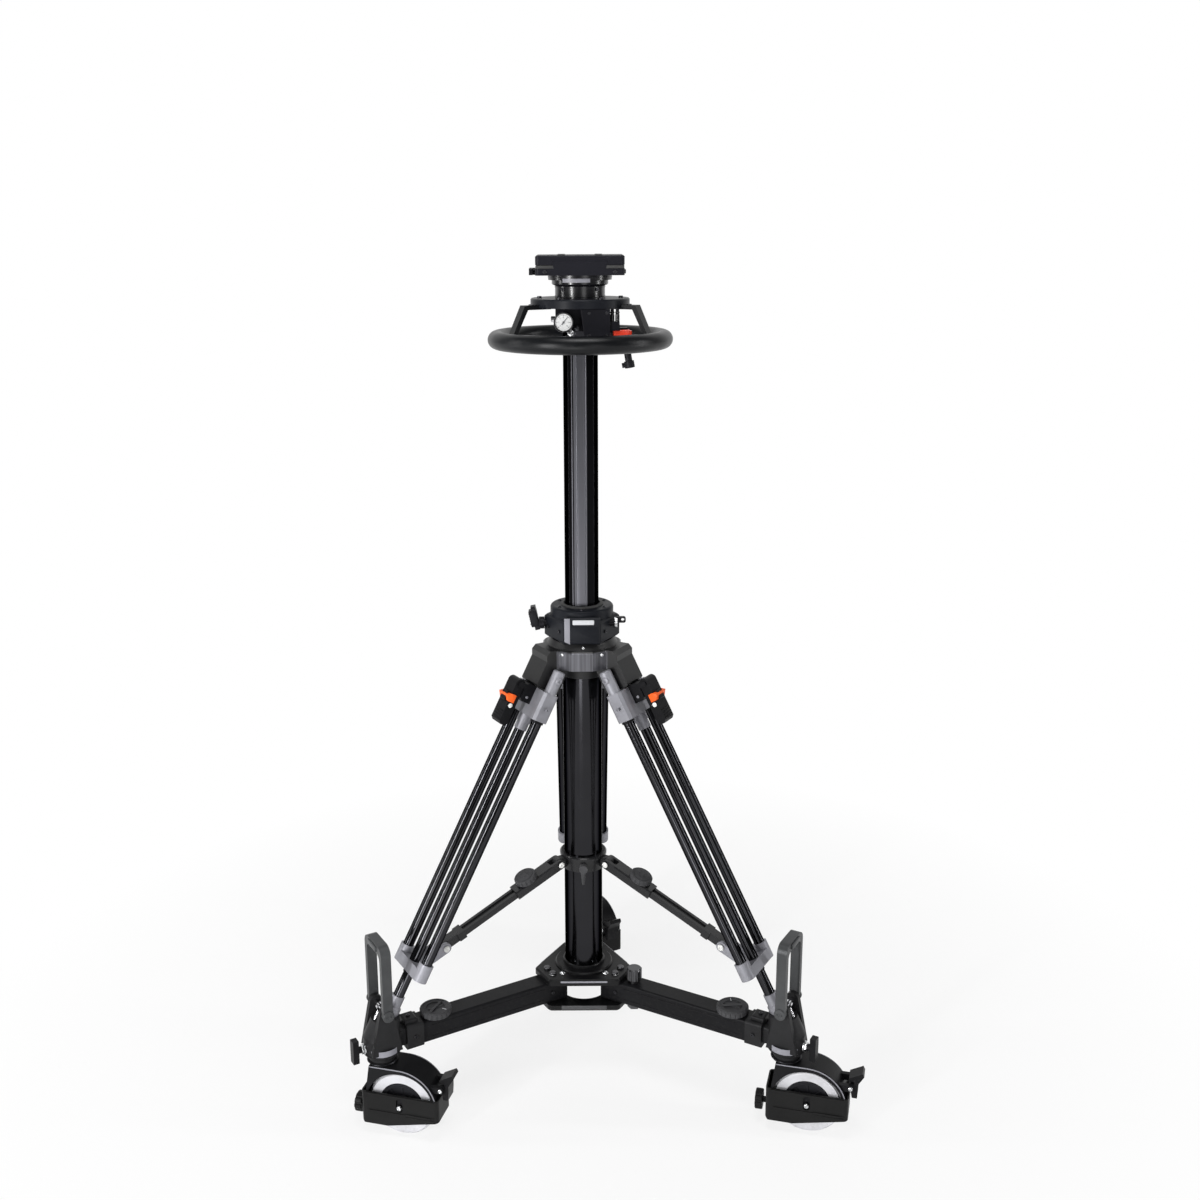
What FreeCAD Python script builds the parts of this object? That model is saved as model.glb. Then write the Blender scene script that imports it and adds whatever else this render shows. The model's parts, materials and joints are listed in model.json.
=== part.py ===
import FreeCAD, Part
import os
from math import sin, cos, radians, hypot, atan2, degrees

V = FreeCAD.Vector

# Camera pedestal: a pneumatic column on a tripod that is clamped into a rolling dolly.
# Lengths in millimetres, +Z up, floor at zero. It is modelled about the column's axis, and
# moved at the end so that the origin is under the middle of the whole.

# Layout shared by all pieces
match_tolerance = 0.0001
fillet_share = 0.33
edge_share = 0.16
quarter_share = 0.25
arm_azimuths = {"left": 210.0, "right": 330.0, "rear": 90.0}
caster_headings = {"left": -15.0, "right": -15.0, "rear": -60.0}
caster_circle_radius = 343.0
overrun = 2.0
running_gap = 0.05
slide_gap = 0.25
curve_gap = 0.3
bolt_gap = 0.2

# Dolly hub
hub_sides = 3
nut_sides = 6
hub_plate_thickness = 10.0
hub_edge_distance = 58.0
hub_corner_distance = 76.0
hub_corner_fillet = 9.0
hub_edge_chamfer = 2.5
hub_lower_hole_radius = 38.0
seat_ring_radius = 45.0
seat_ring_height = 4.0
seat_depth = 4.0
hub_bolt_radius = 3.0
hub_bolt_head_radius = 5.5
hub_bolt_head_height = 3.5
hub_bolt_circle_radius = 61.0
hub_bolt_spread = 9.0
hub_lock_circle_radius = 90.0
hub_lock_stem_radius = 4.0
hub_lock_knob_radius = 12.0
hub_lock_knob_height = 20.0
hub_lock_knob_flutes = 10
hub_lock_flute_radius = 2.0
hub_lock_nut_radius = 9.0
hub_lock_nut_height = 9.0
hub_lock_spacer_height = 4.0

# Dolly arms
arm_width = 34.0
arm_wall = 3.0
arm_bottom_z = 126.0
arm_root_radius = 40.0
arm_end_radius = 284.0
arm_corner_radius = 3.0
arm_knob_circle_radius = 256.0
arm_knob_radius = 24.0
arm_knob_height = 9.0
arm_knob_flutes = 20
arm_knob_flute_radius = 1.4
arm_knob_stem_radius = 5.0
arm_knob_dish_share = 0.6

# Neck bar, sleeve and foot clamp at the end of each arm
neck_width = 26.5
neck_length_inside = 90.0
sleeve_width = 39.0
sleeve_length = 26.0
sleeve_corner_radius = 5.0
hump_height = 6.0
hump_width = 24.0
hump_length = 20.0
clamp_collar_radius = 20.0
clamp_collar_height = 4.0
clamp_body_radius = 27.0
clamp_bottom_z = 116.0
clamp_cone_height = 8.0
clamp_straight_top_z = 152.0
clamp_top_z = 180.0
clamp_top_radius = 21.0
clamp_top_shift = 7.0
ear_thickness = 8.0
ear_width = 20.0
ear_foot_width = 47.0
ear_foot_z = 132.0
flank_gap = 0.5
ear_inner_half_gap = 15.5
loop_pivot_z = 197.0
loop_pin_radius = 3.0
loop_bar_width = 8.0
loop_depth = 15.0
loop_height = 108.0
loop_top_bar = 13.0
loop_outer_fillet = 14.0
loop_inner_fillet = 9.0
loop_lug_radius = 8.0
rod_radius = 2.5
rod_lean = 22.0
rod_drop = 44.0
rod_eye_radius = 6.0
wing_stem_radius = 5.0
wing_screw_z = 137.0
wing_stem_length = 15.0
wing_height = 36.0
wing_width = 12.0
wing_depth = 9.0
wing_waist_half_width = 6.5

# Casters
wheel_radius = 51.0
wheel_width = 30.0
tread_inner_radius = 34.0
core_recess_depth = 4.0
core_recess_radius = 28.0
hub_boss_radius = 12.0
caster_trail = 34.0
axle_radius = 6.0
axle_head_radius = 4.0
well_gap = 2.0
hood_wall = 4.0
hood_half_width = 22.0
hood_top_z = 111.0
hood_top_lean = 10.0
hood_skirt_z = 42.0
hood_edge_chamfer = 1.5
strap_thickness = 4.5
strap_half_height = 12.0
swivel_boss_radius = 21.0
swivel_thrust_gap = 0.2
stem_radius = 7.0
stem_length = 18.0
guard_wall = 2.5
guard_gap = 0.5
guard_top_z = 70.0
guard_bottom_z = 18.0
guard_tail_rise = 17.0
guard_rake_start = 20.0
guard_lead_chamfer = 4.0
guard_corner_radius = 6.0
guard_slot_radius = 5.0
guard_slot_height = 12.0
guard_rib_height = 1.2
guard_knob_radius = 15.0
guard_knob_thickness = 11.0
guard_knob_standoff = 6.0
guard_knob_stem_radius = 4.5
guard_knob_flutes = 10
guard_knob_flute_radius = 2.2
guard_knob_z = 34.0
brake_pivot_z = 84.0
brake_pin_radius = 2.5
brake_width = 22.0
brake_lever_thickness = 5.0
brake_hook_drop = 18.0
brake_reach = 11.0
brake_pad_length = 16.0
brake_pad_rise = 18.0
brake_ear_reach = 8.0
brake_ear_root = 19.0
brake_ear_half_height = 5.0
brake_eye_radius = 4.0
guard_slot_drop = 2.5
guard_rib_low = 39.0

# Outer column, crown and head
crown_sides = 12
head_block_sides = 6
column_radius = 29.25
column_wall = 3.0
column_floor = 6.0
crown_inradius = 58.0
crown_bottom_z = 670.0
crown_side_top_z = 699.0
crown_top_z = 708.0
crown_top_radius = 47.0
crown_boss_radius = 36.0
crown_boss_low_radius = 33.0
crown_boss_bottom_z = 650.0
lug_half_width = 23.5
lug_radius = 72.0
lug_chamfer = 6.0
leg_head_half_depth = 20.0
leg_head_top = 8.0
leg_head_bottom = 33.0
leg_head_fillet = 3.0
head_block_inradius = 48.0
head_block_height = 34.0
bush_seat_depth = 11.0
head_block_chamfer = 3.0
shield_half_width = 27.0
shield_proud = 4.0
shield_above_block = 7.0
shield_foot_gap = 1.0
shield_chamfer = 2.5
shield_cap_gap = 0.8
cap_radius = 46.5
cap_height = 15.0
cap_fillet = 4.0
cap_lip = 2.0

# Inner column, piston and bush
inner_half_width = 24.7
inner_sides = 12
inner_groove_radius = 1.0
inner_wall = 3.0
inner_bottom_z = 590.0
piston_height = 25.0
piston_gap = 0.08
piston_spigot_height = 20.0
seal_width = 5.0
seal_depth = 3.5
bush_wall = 4.0

# Brake lever and cam lever on the head
brake_boss_radius = 9.0
brake_boss_length = 8.0
brake_shaft_radius = 5.5
brake_shaft_inner_x = -38.0
brake_axis_drop = 14.0
paddle_width = 16.0
paddle_height = 36.0
paddle_thickness = 7.0
paddle_lean_angle = 12.0
cam_axis_drop = 8.0
cam_boss_radius = 7.5
cam_boss_length = 7.0
cam_shaft_radius = 5.0
cam_wing_length = 15.0
cam_wing_height = 9.0
cam_wing_thickness = 5.0
cam_hole_radius = 2.5
cam_forward = 22.0
cam_shaft_inner_x = 36.0

# Tripod legs, drawn hanging straight down from the hinge and then leaned out
leg_hinge_radius = 57.0
leg_hinge_z = 670.0
leg_lean_angle = 29.0
leg_pin_drop = 13.0
leg_pin_radius = 5.0
leg_tube_radius = 8.0
leg_tube_wall = 1.5
leg_tube_half_spacing = 33.5
ear_barrel_radius = 9.0
ear_barrel_top = 0.5
casting_top = 35.0
casting_bottom = 78.0
casting_half_width = 42.0
casting_half_depth = 13.0
casting_chamfer = 4.0
housing_bottom = 62.0
housing_top = 34.0
housing_half_width = 15.0
housing_depth = 18.0
leg_lever_thickness = 15.0
leg_lever_half_width = 13.0
leg_lever_bottom = 104.0
leg_lever_pivot_drop = 40.0
leg_lever_pin_radius = 2.5
leg_lever_gap = 0.6
leg_lever_taper = 4.0
tab_drop = 56.0
tab_length = 14.0
tab_proud = 4.0
tab_sink = 4.0
tab_half_width = 7.0
sleeve_step_radius = 11.0
sleeve_step_length = 12.0
sleeve_neck_radius = 9.5
sleeve_neck_length = 12.0
bracket_top = 464.0
bracket_bottom = 490.0
bracket_bridge_height = 16.0
bracket_half_depth = 10.5
bracket_knuckle_radius = 11.0
lug_plate_thickness = 5.0
lug_plate_half_gap = 8.0
lug_eye_radius = 8.0
foot_boss_radius = 12.0
foot_boss_top = 546.0
foot_boss_bottom = 574.0
foot_tip_radius = 9.0
foot_tip_bottom = 606.0
foot_neck_radius = 10.0
foot_neck_top = 530.0
foot_socket_bottom = 560.0

# Mid spreader
spreader_hub_radius = 34.0
spreader_hub_top_z = 363.0
spreader_hub_bottom_z = 339.0
spreader_lip_height = 6.0
spreader_lip_radius = 36.0
spreader_pivot_radius = 45.0
spreader_pivot_z = 351.0
spreader_lug_half_width = 5.5
spreader_lug_height = 16.0
spreader_fork_thickness = 4.5
spreader_end_radius = 241.0
spreader_end_z = 267.0
spreader_pin_radius = 3.5
spreader_eye_radius = 8.0
spreader_sleeve_start = 14.0
spreader_sleeve_end = 82.0
spreader_sleeve_half_width = 12.0
spreader_sleeve_half_height = 7.5
spreader_bar_half_width = 8.5
spreader_bar_half_height = 4.5
spreader_bar_start = 40.0
spreader_bar_slot_half_width = 3.5
spreader_tongue_length = 24.0
spreader_knob_place = 56.0
spreader_knob_radius = 17.5
spreader_knob_height = 9.0
spreader_knob_flutes = 16
spreader_knob_flute_radius = 1.3
spreader_lever_boss_radius = 6.5
spreader_lever_boss_length = 9.0
spreader_lever_length = 26.0
spreader_lever_root_radius = 4.5
spreader_lever_tip_radius = 2.0
spreader_lever_z = 348.0

# Head that rides on the inner column
disc_radius = 69.5
disc_bottom_z = 1189.0
disc_thickness = 12.0
disc_chamfer = 1.5
disc_collar_radius = 33.0
disc_collar_height = 30.0
ring_radius = 118.0
ring_tube_radius = 12.5
ring_z = 1144.0
ring_arm_width = 14.0
ring_arm_thickness = 6.0
ring_arm_inner_radius = 50.0
ring_arm_bend_radius = 88.0
ring_arm_drop = 2.0
ring_arm_bite = 5.0
ring_arm_end_radius = 110.5

# Control block, gauge and valves
block_right_x = 41.0
block_left_top_x = 0.0
block_left_low_x = 6.0
block_front_y = -60.0
block_back_y = -34.5
block_bottom_z = 1147.0
manifold_left_x = -34.0
manifold_front_y = -46.0
manifold_bottom_z = 1158.0
block_edge_fillet = 1.5
gauge_radius = 13.5
gauge_depth = 13.0
gauge_rim = 1.6
gauge_dial_sink = 1.2
gauge_x = -21.0
gauge_z = 1171.0
gauge_turn_angle = 8.0
gauge_stem_radius = 5.0
gauge_front_y = -61.0
inflation_x = -34.0
inflation_z = 1174.0
inflation_radius = 3.2
inflation_length = 11.0
inflation_cap_radius = 4.2
inflation_cap_length = 6.0
inflation_cap_flutes = 8
inflation_cap_flute_radius = 0.5
inflation_cap_chamfer = 0.7
inflation_y = -40.0
bleed_x = -4.5
bleed_z = 1162.5
bleed_radius = 2.4
bleed_head_radius = 3.4
bleed_length = 8.0
bleed_head_length = 4.0
side_block_width = 13.0
side_block_height = 12.0
side_block_depth = 16.0
side_block_bottom_z = 1159.0
side_block_front_y = -56.0
valve_rods = 2
valve_rod_radius = 2.4
valve_rod_spacing = 7.0
release_length = 26.0
release_height = 9.0
release_depth = 8.0
release_gap = 0.5
release_pin_radius = 2.0
connector_x = 60.0
connector_y = -34.0
connector_top_z = 1156.0
connector_length = 52.0
connector_radius = 5.0
connector_collar_radius = 7.0
connector_collar_length = 9.0
connector_lean_angle = 10.0
connector_hook_radius = 3.5
connector_hook_length = 10.5
connector_bracket_half_width = 5.0
connector_bracket_height = 6.0

# Neck adapter, plate base and camera plate
neck_radius = 35.0
neck_step_z = 1219.0
neck_step_radius = 39.5
neck_flange_z = 1226.0
neck_flange_radius = 44.5
neck_top_z = 1233.0
neck_chamfer = 1.5
plate_half_width = 61.0
plate_half_length = 48.0
plate_base_bottom_z = 1233.0
plate_base_thickness = 9.0
dovetail_half_width = 38.0
dovetail_height = 10.0
dovetail_flare = 3.0
dovetail_root = 2.0
camera_plate_bottom_z = 1247.0
camera_plate_thickness = 12.6
camera_plate_chamfer = 1.5
plate_corner_radius = 5.0
camera_hole_radius = 5.0
camera_bolt_radius = 3.3
camera_bolt_spacing_x = 84.0
camera_bolt_spacing_y = 60.0
plate_lock_radius = 5.0
plate_lock_length = 9.0
plate_lock_shaft_radius = 3.0
plate_lock_shaft_length = 18.0
plate_lock_z = 1237.5
plate_lock_handle_length = 26.0
plate_lock_handle_width = 9.0
plate_lock_handle_thickness = 5.0

# Places worked out from the sizes above
arm_top_z = arm_bottom_z + arm_width
hub_top_z = arm_top_z + hub_plate_thickness
hub_bottom_z = arm_bottom_z - hub_plate_thickness
column_bottom_z = hub_top_z - seat_depth
sleeve_end_radius = arm_end_radius + sleeve_length
head_block_top_z = crown_top_z + head_block_height
column_top_z = head_block_top_z - bush_seat_depth
cap_top_z = head_block_top_z + cap_height
brake_axis_z = head_block_top_z - brake_axis_drop
cam_axis_z = head_block_top_z - cam_axis_drop
column_bore_radius = column_radius - column_wall
disc_top_z = disc_bottom_z + disc_thickness
camera_plate_top_z = camera_plate_bottom_z + camera_plate_thickness
well_radius = wheel_radius + well_gap
hood_radius = well_radius + hood_wall


# Shape helpers

def upright(radius, low, high, x=0.0, y=0.0):
    """Cylinder along Z between two heights."""
    return Part.makeCylinder(radius, high - low, V(x, y, low))


def rod(radius, start, end):
    """Cylinder from one point to another."""
    along = end.sub(start)
    return Part.makeCylinder(radius, along.Length, start, along)


def box(x_low, x_high, y_low, y_high, z_low, z_high):
    return Part.makeBox(x_high - x_low, y_high - y_low, z_high - z_low, V(x_low, y_low, z_low))


def side_profile(points, half_width):
    """Outline in the X-Z plane, extruded evenly to both sides of it."""
    corners = [V(x, -half_width, z) for x, z in points]
    face = Part.Face(Part.makePolygon(corners + corners[:1]))
    return face.extrude(V(0, 2 * half_width, 0))


def front_profile(points, x_start, thickness):
    """Outline in the Y-Z plane, extruded along X."""
    corners = [V(x_start, y, z) for y, z in points]
    face = Part.Face(Part.makePolygon(corners + corners[:1]))
    return face.extrude(V(thickness, 0, 0))


def plan_profile(points, low, high):
    """Outline in the X-Y plane between two heights."""
    corners = [V(x, y, low) for x, y in points]
    face = Part.Face(Part.makePolygon(corners + corners[:1]))
    return face.extrude(V(0, 0, high - low))


def spun(points):
    """Outline of radius and height pairs, revolved about Z."""
    corners = [V(r, 0, z) for r, z in points]
    face = Part.Face(Part.makePolygon(corners + corners[:1]))
    return face.revolve(V(0, 0, 0), V(0, 0, 1), 360)


def turned(shape, angle, axis=V(0, 0, 1), centre=V(0, 0, 0)):
    copy = shape.copy()
    copy.rotate(centre, axis, angle)
    return copy


def moved(shape, x=0.0, y=0.0, z=0.0):
    copy = shape.copy()
    copy.translate(V(x, y, z))
    return copy


def joined(*shapes):
    return shapes[0].fuse(list(shapes[1:])).removeSplitter()


def along_edges(shape, direction):
    """Straight edges that run along a direction."""
    found = []
    for edge in shape.Edges:
        if edge.Curve.TypeId == "Part::GeomLine":
            if abs(abs(edge.Curve.Direction.dot(direction)) - 1) < match_tolerance:
                found.append(edge)
    return found


def edges_at_height(shape, height):
    """Edges that lie flat at one height."""
    flat = []
    for edge in shape.Edges:
        limits = edge.BoundBox
        low_gap = abs(limits.ZMin - height)
        high_gap = abs(limits.ZMax - height)
        if max(low_gap, high_gap) < match_tolerance:
            flat.append(edge)
    return flat


def rounded_bar(x_low, x_high, half_y, half_z, corner, centre_z):
    """Bar along X with rounded long edges."""
    bar = box(x_low, x_high, -half_y, half_y, centre_z - half_z, centre_z + half_z)
    return bar.makeFillet(corner, along_edges(bar, V(1, 0, 0)))


def regular_prism(inradius, sides, low, high):
    """Prism whose first flat faces -Y."""
    outer = inradius / cos(radians(180.0 / sides))
    points = []
    for k in range(sides):
        angle = radians(-90.0 + 180.0 / sides + 360.0 * k / sides)
        points.append((outer * cos(angle), outer * sin(angle)))
    return plan_profile(points, low, high)


def fluted_knob(radius, height, flutes, flute_radius, edge_chamfer):
    """Round knob standing on zero with a scalloped rim."""
    knob = spun([(0, 0), (radius - edge_chamfer, 0), (radius, edge_chamfer),
                 (radius, height - edge_chamfer), (radius - edge_chamfer, height), (0, height)])
    cutters = []
    for k in range(flutes):
        angle = radians(360.0 * k / flutes)
        cutters.append(upright(flute_radius, -overrun, height + overrun,
                               radius * cos(angle), radius * sin(angle)))
    return knob.cut(cutters)


def around_arms(shape):
    """One copy per dolly arm, from a shape drawn along +X."""
    return {name: turned(shape, azimuth) for name, azimuth in arm_azimuths.items()}


def group(shapes):
    return Part.makeCompound(list(shapes))


# Dolly hub

def hub_outline(low, high):
    """Three long sides between the arms and three cut corners at them, corners rounded."""
    plate = regular_prism(hub_edge_distance, hub_sides, low, high)
    reach = 4 * hub_corner_distance
    for azimuth in arm_azimuths.values():
        beyond = box(hub_corner_distance, reach, -reach, reach, low - overrun, high + overrun)
        plate = plate.cut(turned(beyond, azimuth))
    return plate.makeFillet(hub_corner_fillet, along_edges(plate, V(0, 0, 1)))


def hub_bolt_places():
    places = []
    for azimuth in arm_azimuths.values():
        for side in (-1, 1):
            spot = turned(Part.Vertex(V(hub_bolt_circle_radius, side * hub_bolt_spread, 0)), azimuth)
            places.append((spot.Point.x, spot.Point.y))
    return places


def hub_lock_place():
    angle = radians(arm_azimuths["right"])
    return hub_lock_circle_radius * cos(angle), hub_lock_circle_radius * sin(angle)


def bolt_holes(low, high):
    return [upright(hub_bolt_radius + bolt_gap, low - overrun, high + overrun, x, y)
            for x, y in hub_bolt_places()]


def make_hub_top_plate():
    plate = hub_outline(arm_top_z, hub_top_z)
    plate = plate.makeChamfer(hub_edge_chamfer, edges_at_height(plate, hub_top_z))
    ring_top = hub_top_z + seat_ring_height
    ring_chamfer = seat_ring_height / 2
    ring = spun([(0, hub_top_z - overrun), (seat_ring_radius, hub_top_z - overrun),
                 (seat_ring_radius, ring_top - ring_chamfer),
                 (seat_ring_radius - ring_chamfer, ring_top), (0, ring_top)])
    plate = joined(plate, ring)
    plate = plate.cut(upright(column_radius + bolt_gap, column_bottom_z, ring_top + overrun))
    return plate.cut(bolt_holes(arm_top_z, hub_top_z))


def make_hub_bottom_plate():
    plate = hub_outline(hub_bottom_z, arm_bottom_z)
    plate = plate.makeChamfer(hub_edge_chamfer, edges_at_height(plate, hub_bottom_z))
    hole = upright(hub_lower_hole_radius, hub_bottom_z - overrun, arm_bottom_z + overrun)
    plate = plate.cut(hole)
    return plate.cut(bolt_holes(hub_bottom_z, arm_bottom_z))


def make_hub_bolts():
    """Through bolts of the arms, and the locking screw with its nut on the right arm."""
    pieces = []
    for x, y in hub_bolt_places():
        shank = upright(hub_bolt_radius, hub_bottom_z - hub_bolt_head_height, hub_top_z, x, y)
        head = upright(hub_bolt_head_radius, hub_top_z, hub_top_z + hub_bolt_head_height, x, y)
        head = head.makeFillet(hub_bolt_head_height / 2,
                               edges_at_height(head, hub_top_z + hub_bolt_head_height))
        nut = regular_prism(hub_bolt_head_radius, nut_sides, hub_bottom_z - hub_bolt_head_height,
                            hub_bottom_z)
        pieces.append(joined(shank, head, moved(nut, x, y)))
    x, y = hub_lock_place()
    knob_low = arm_top_z + hub_lock_spacer_height
    knob = fluted_knob(hub_lock_knob_radius, hub_lock_knob_height, hub_lock_knob_flutes,
                       hub_lock_flute_radius, hub_lock_flute_radius)
    spacer = upright(hub_lock_nut_radius, arm_top_z, knob_low, x, y)
    stem = upright(hub_lock_stem_radius, arm_bottom_z - hub_lock_nut_height, knob_low, x, y)
    nut = regular_prism(hub_lock_nut_radius, nut_sides, arm_bottom_z - hub_lock_nut_height, arm_bottom_z)
    pieces.append(joined(spacer, moved(knob, x, y, knob_low), stem, moved(nut, x, y)))
    return group(pieces)


# Dolly arms and their ends

def make_arms():
    """Square tubes bolted between the hub plates."""
    centre = arm_bottom_z + arm_width / 2
    tube = rounded_bar(arm_root_radius, arm_end_radius, arm_width / 2, arm_width / 2,
                       arm_corner_radius, centre)
    inside = arm_width / 2 - arm_wall
    tube = tube.cut(box(arm_root_radius - overrun, arm_end_radius + overrun,
                        -inside, inside, centre - inside, centre + inside))
    knob_hole = upright(arm_knob_stem_radius + slide_gap, centre, arm_top_z + overrun,
                        arm_knob_circle_radius)
    tube = tube.cut(knob_hole)
    for side in (-1, 1):
        tube = tube.cut(upright(hub_bolt_radius + bolt_gap, arm_bottom_z - overrun,
                                arm_top_z + overrun, hub_bolt_circle_radius,
                                side * hub_bolt_spread))
    arms = around_arms(tube)
    x, y = hub_lock_place()
    arms["right"] = arms["right"].cut(upright(hub_lock_stem_radius + bolt_gap,
                                              arm_bottom_z - overrun, arm_top_z + overrun, x, y))
    return group(arms.values())


def make_arm_knobs():
    """Clamp knob on each arm; its stem reaches down to the neck bar."""
    chamfer = arm_knob_height * edge_share
    knob = fluted_knob(arm_knob_radius, arm_knob_height, arm_knob_flutes,
                       arm_knob_flute_radius, chamfer)
    knob = knob.cut(upright(arm_knob_radius * arm_knob_dish_share, arm_knob_height - chamfer,
                            arm_knob_height + overrun))
    grip = box(-arm_knob_radius / 2, arm_knob_radius / 2, -chamfer, chamfer,
               arm_knob_height - 2 * chamfer, arm_knob_height)
    neck_top = arm_bottom_z + arm_width / 2 + neck_width / 2
    stem = upright(arm_knob_stem_radius, neck_top - arm_top_z + slide_gap, chamfer)
    knob = joined(knob, grip, stem)
    return around_arms(moved(knob, arm_knob_circle_radius, 0, arm_top_z))


def clamp_axis_frame(shape):
    """From a shape drawn about the caster's swivel axis to its place on the arm."""
    return moved(shape, caster_circle_radius)


def foot_pocket():
    """Room that the leg's foot takes in the clamp, as drawn about the column."""
    tip = upright(foot_tip_radius + curve_gap, -foot_tip_bottom - curve_gap, -foot_boss_bottom)
    return lean_leg(joined(tip, upright(foot_boss_radius + curve_gap, -foot_boss_bottom,
                                        -foot_neck_top)))


def clamp_cheek(side):
    """Flat flank of the casting that narrows up to the lever's pivot."""
    y_low = min(side * ear_inner_half_gap, side * (ear_inner_half_gap + ear_thickness))
    points = [(-ear_foot_width / 2, ear_foot_z), (ear_foot_width / 2, ear_foot_z),
              (ear_width / 2, loop_pivot_z), (-ear_width / 2, loop_pivot_z)]
    flank = moved(side_profile(points, ear_thickness / 2), 0, y_low + ear_thickness / 2)
    return joined(flank, across(ear_width / 2, y_low, y_low + ear_thickness, 0, loop_pivot_z))


def clamp_casting():
    """Round foot with a bearing collar, flattened above, and two flanks for the lever."""
    collar_top = clamp_bottom_z + clamp_collar_height
    cone_top = collar_top + clamp_cone_height
    lower = spun([(0, clamp_bottom_z), (clamp_collar_radius, clamp_bottom_z),
                  (clamp_collar_radius, collar_top), (clamp_body_radius, cone_top),
                  (clamp_body_radius, clamp_straight_top_z), (0, clamp_straight_top_z)])
    low_ring = Part.Wire(Part.makeCircle(clamp_body_radius, V(0, 0, clamp_straight_top_z)))
    top_ring = Part.Wire(Part.makeCircle(clamp_top_radius, V(-clamp_top_shift, 0, clamp_top_z)))
    body = joined(lower, Part.makeLoft([low_ring, top_ring], True, True))
    flat = ear_inner_half_gap + ear_thickness - flank_gap
    wide = 2 * clamp_body_radius
    for side in (-1, 1):
        y_low = min(side * flat, side * wide)
        body = body.cut(box(-wide, wide, y_low, y_low + wide - flat, ear_foot_z, clamp_top_z + overrun))
    return joined(body, clamp_cheek(-1), clamp_cheek(1))


def clamp_stem_top():
    return clamp_bottom_z + stem_length - swivel_thrust_gap


def bored_casting():
    """The casting with its holes for pin, swivel stem, draw rod, wing screw and foot."""
    ear_outer = ear_inner_half_gap + ear_thickness
    pin_hole = across(loop_pin_radius + bolt_gap, -ear_outer - overrun, ear_outer + overrun, 0, loop_pivot_z)
    stem_hole = upright(stem_radius + running_gap, clamp_bottom_z - overrun, clamp_stem_top() + overrun)
    rod_hole = rod(rod_radius + bolt_gap, V(0, 0, loop_pivot_z), V(rod_lean, 0, loop_pivot_z - rod_drop))
    wing_hole = rod(wing_stem_radius + slide_gap, V(clamp_body_radius / 2, 0, wing_screw_z),
                    V(2 * clamp_body_radius, 0, wing_screw_z))
    body = clamp_casting().cut([pin_hole, stem_hole, rod_hole, wing_hole])
    return clamp_axis_frame(body).cut(foot_pocket())


def clamp_neck():
    """Bar that telescopes into the arm."""
    centre = arm_bottom_z + arm_width / 2
    neck = rounded_bar(arm_end_radius - neck_length_inside, caster_circle_radius, neck_width / 2,
                       neck_width / 2, arm_corner_radius, centre)
    stem_well = upright(stem_radius + running_gap, clamp_bottom_z, clamp_stem_top() + overrun,
                        caster_circle_radius)
    core = upright(clamp_body_radius - wing_stem_radius, centre - neck_width, centre + neck_width,
                   caster_circle_radius)
    return neck.cut([stem_well, foot_pocket(), core])


def arm_sleeve():
    """Collar on the end of the arm with a hump on top; the neck passes through it."""
    centre = arm_bottom_z + arm_width / 2
    half_sleeve = sleeve_width / 2
    sleeve = rounded_bar(arm_end_radius, sleeve_end_radius, half_sleeve, half_sleeve,
                         sleeve_corner_radius, centre)
    hump_top = centre + half_sleeve + hump_height
    hump = box(sleeve_end_radius - hump_length, sleeve_end_radius, -hump_width / 2, hump_width / 2,
               centre + half_sleeve - sleeve_corner_radius, hump_top)
    hump = hump.makeFillet(hump_height / 2, edges_at_height(hump, hump_top))
    half = neck_width / 2 + slide_gap
    tunnel = box(arm_end_radius - overrun, sleeve_end_radius + overrun, -half, half,
                 centre - half, centre + half)
    return joined(sleeve, hump).cut(tunnel)


def make_foot_clamps():
    """Casting and neck bar of each arm, and the sleeve on the arm's end."""
    clamp = joined(bored_casting(), clamp_neck())
    pieces = list(around_arms(clamp).values()) + list(around_arms(arm_sleeve()).values())
    return group(pieces)


def make_clamp_loops():
    """Stirrup lever: two bars beside the ears, joined by a rounded top bar."""
    outer_half = ear_inner_half_gap + ear_thickness + slide_gap + loop_bar_width
    inner_half = outer_half - loop_bar_width
    top = loop_pivot_z + loop_height
    plate = box(-loop_depth / 2, loop_depth / 2, -outer_half, outer_half, loop_pivot_z, top)
    long_edges = [e for e in along_edges(plate, V(1, 0, 0)) if e.BoundBox.ZMin > loop_pivot_z]
    plate = plate.makeFillet(loop_outer_fillet, long_edges)
    window = box(-loop_depth, loop_depth, -inner_half, inner_half,
                 loop_pivot_z - overrun, top - loop_top_bar)
    window_edges = [e for e in along_edges(window, V(1, 0, 0)) if e.BoundBox.ZMin > loop_pivot_z]
    window = window.makeFillet(loop_inner_fillet, window_edges)
    loop = plate.cut(window)
    for side in (-1, 1):
        y_low = min(side * inner_half, side * outer_half)
        eye = Part.makeCylinder(loop_lug_radius, loop_bar_width, V(0, y_low, loop_pivot_z), V(0, 1, 0))
        loop = joined(loop, eye)
    hole = Part.makeCylinder(loop_pin_radius + running_gap, 2 * outer_half + 2 * overrun,
                             V(0, -outer_half - overrun, loop_pivot_z), V(0, 1, 0))
    return around_arms(clamp_axis_frame(loop.cut(hole)))


def make_clamp_screws():
    """Wing screws that point outwards under the clamp levers."""
    stem_start = clamp_body_radius - wing_stem_length / 2
    stem_end = clamp_body_radius + wing_stem_length
    stem = rod(wing_stem_radius, V(stem_start, 0, wing_screw_z), V(stem_end, 0, wing_screw_z))
    half = wing_height / 2
    blade = front_profile([(-wing_width / 2, -half), (wing_width / 2, -half), (wing_waist_half_width, 0),
                           (wing_width / 2, half), (-wing_width / 2, half), (-wing_waist_half_width, 0)],
                          stem_end - wing_depth / 2, wing_depth)
    screw = joined(stem, moved(blade, 0, 0, wing_screw_z))
    return group(around_arms(clamp_axis_frame(screw)).values())


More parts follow.
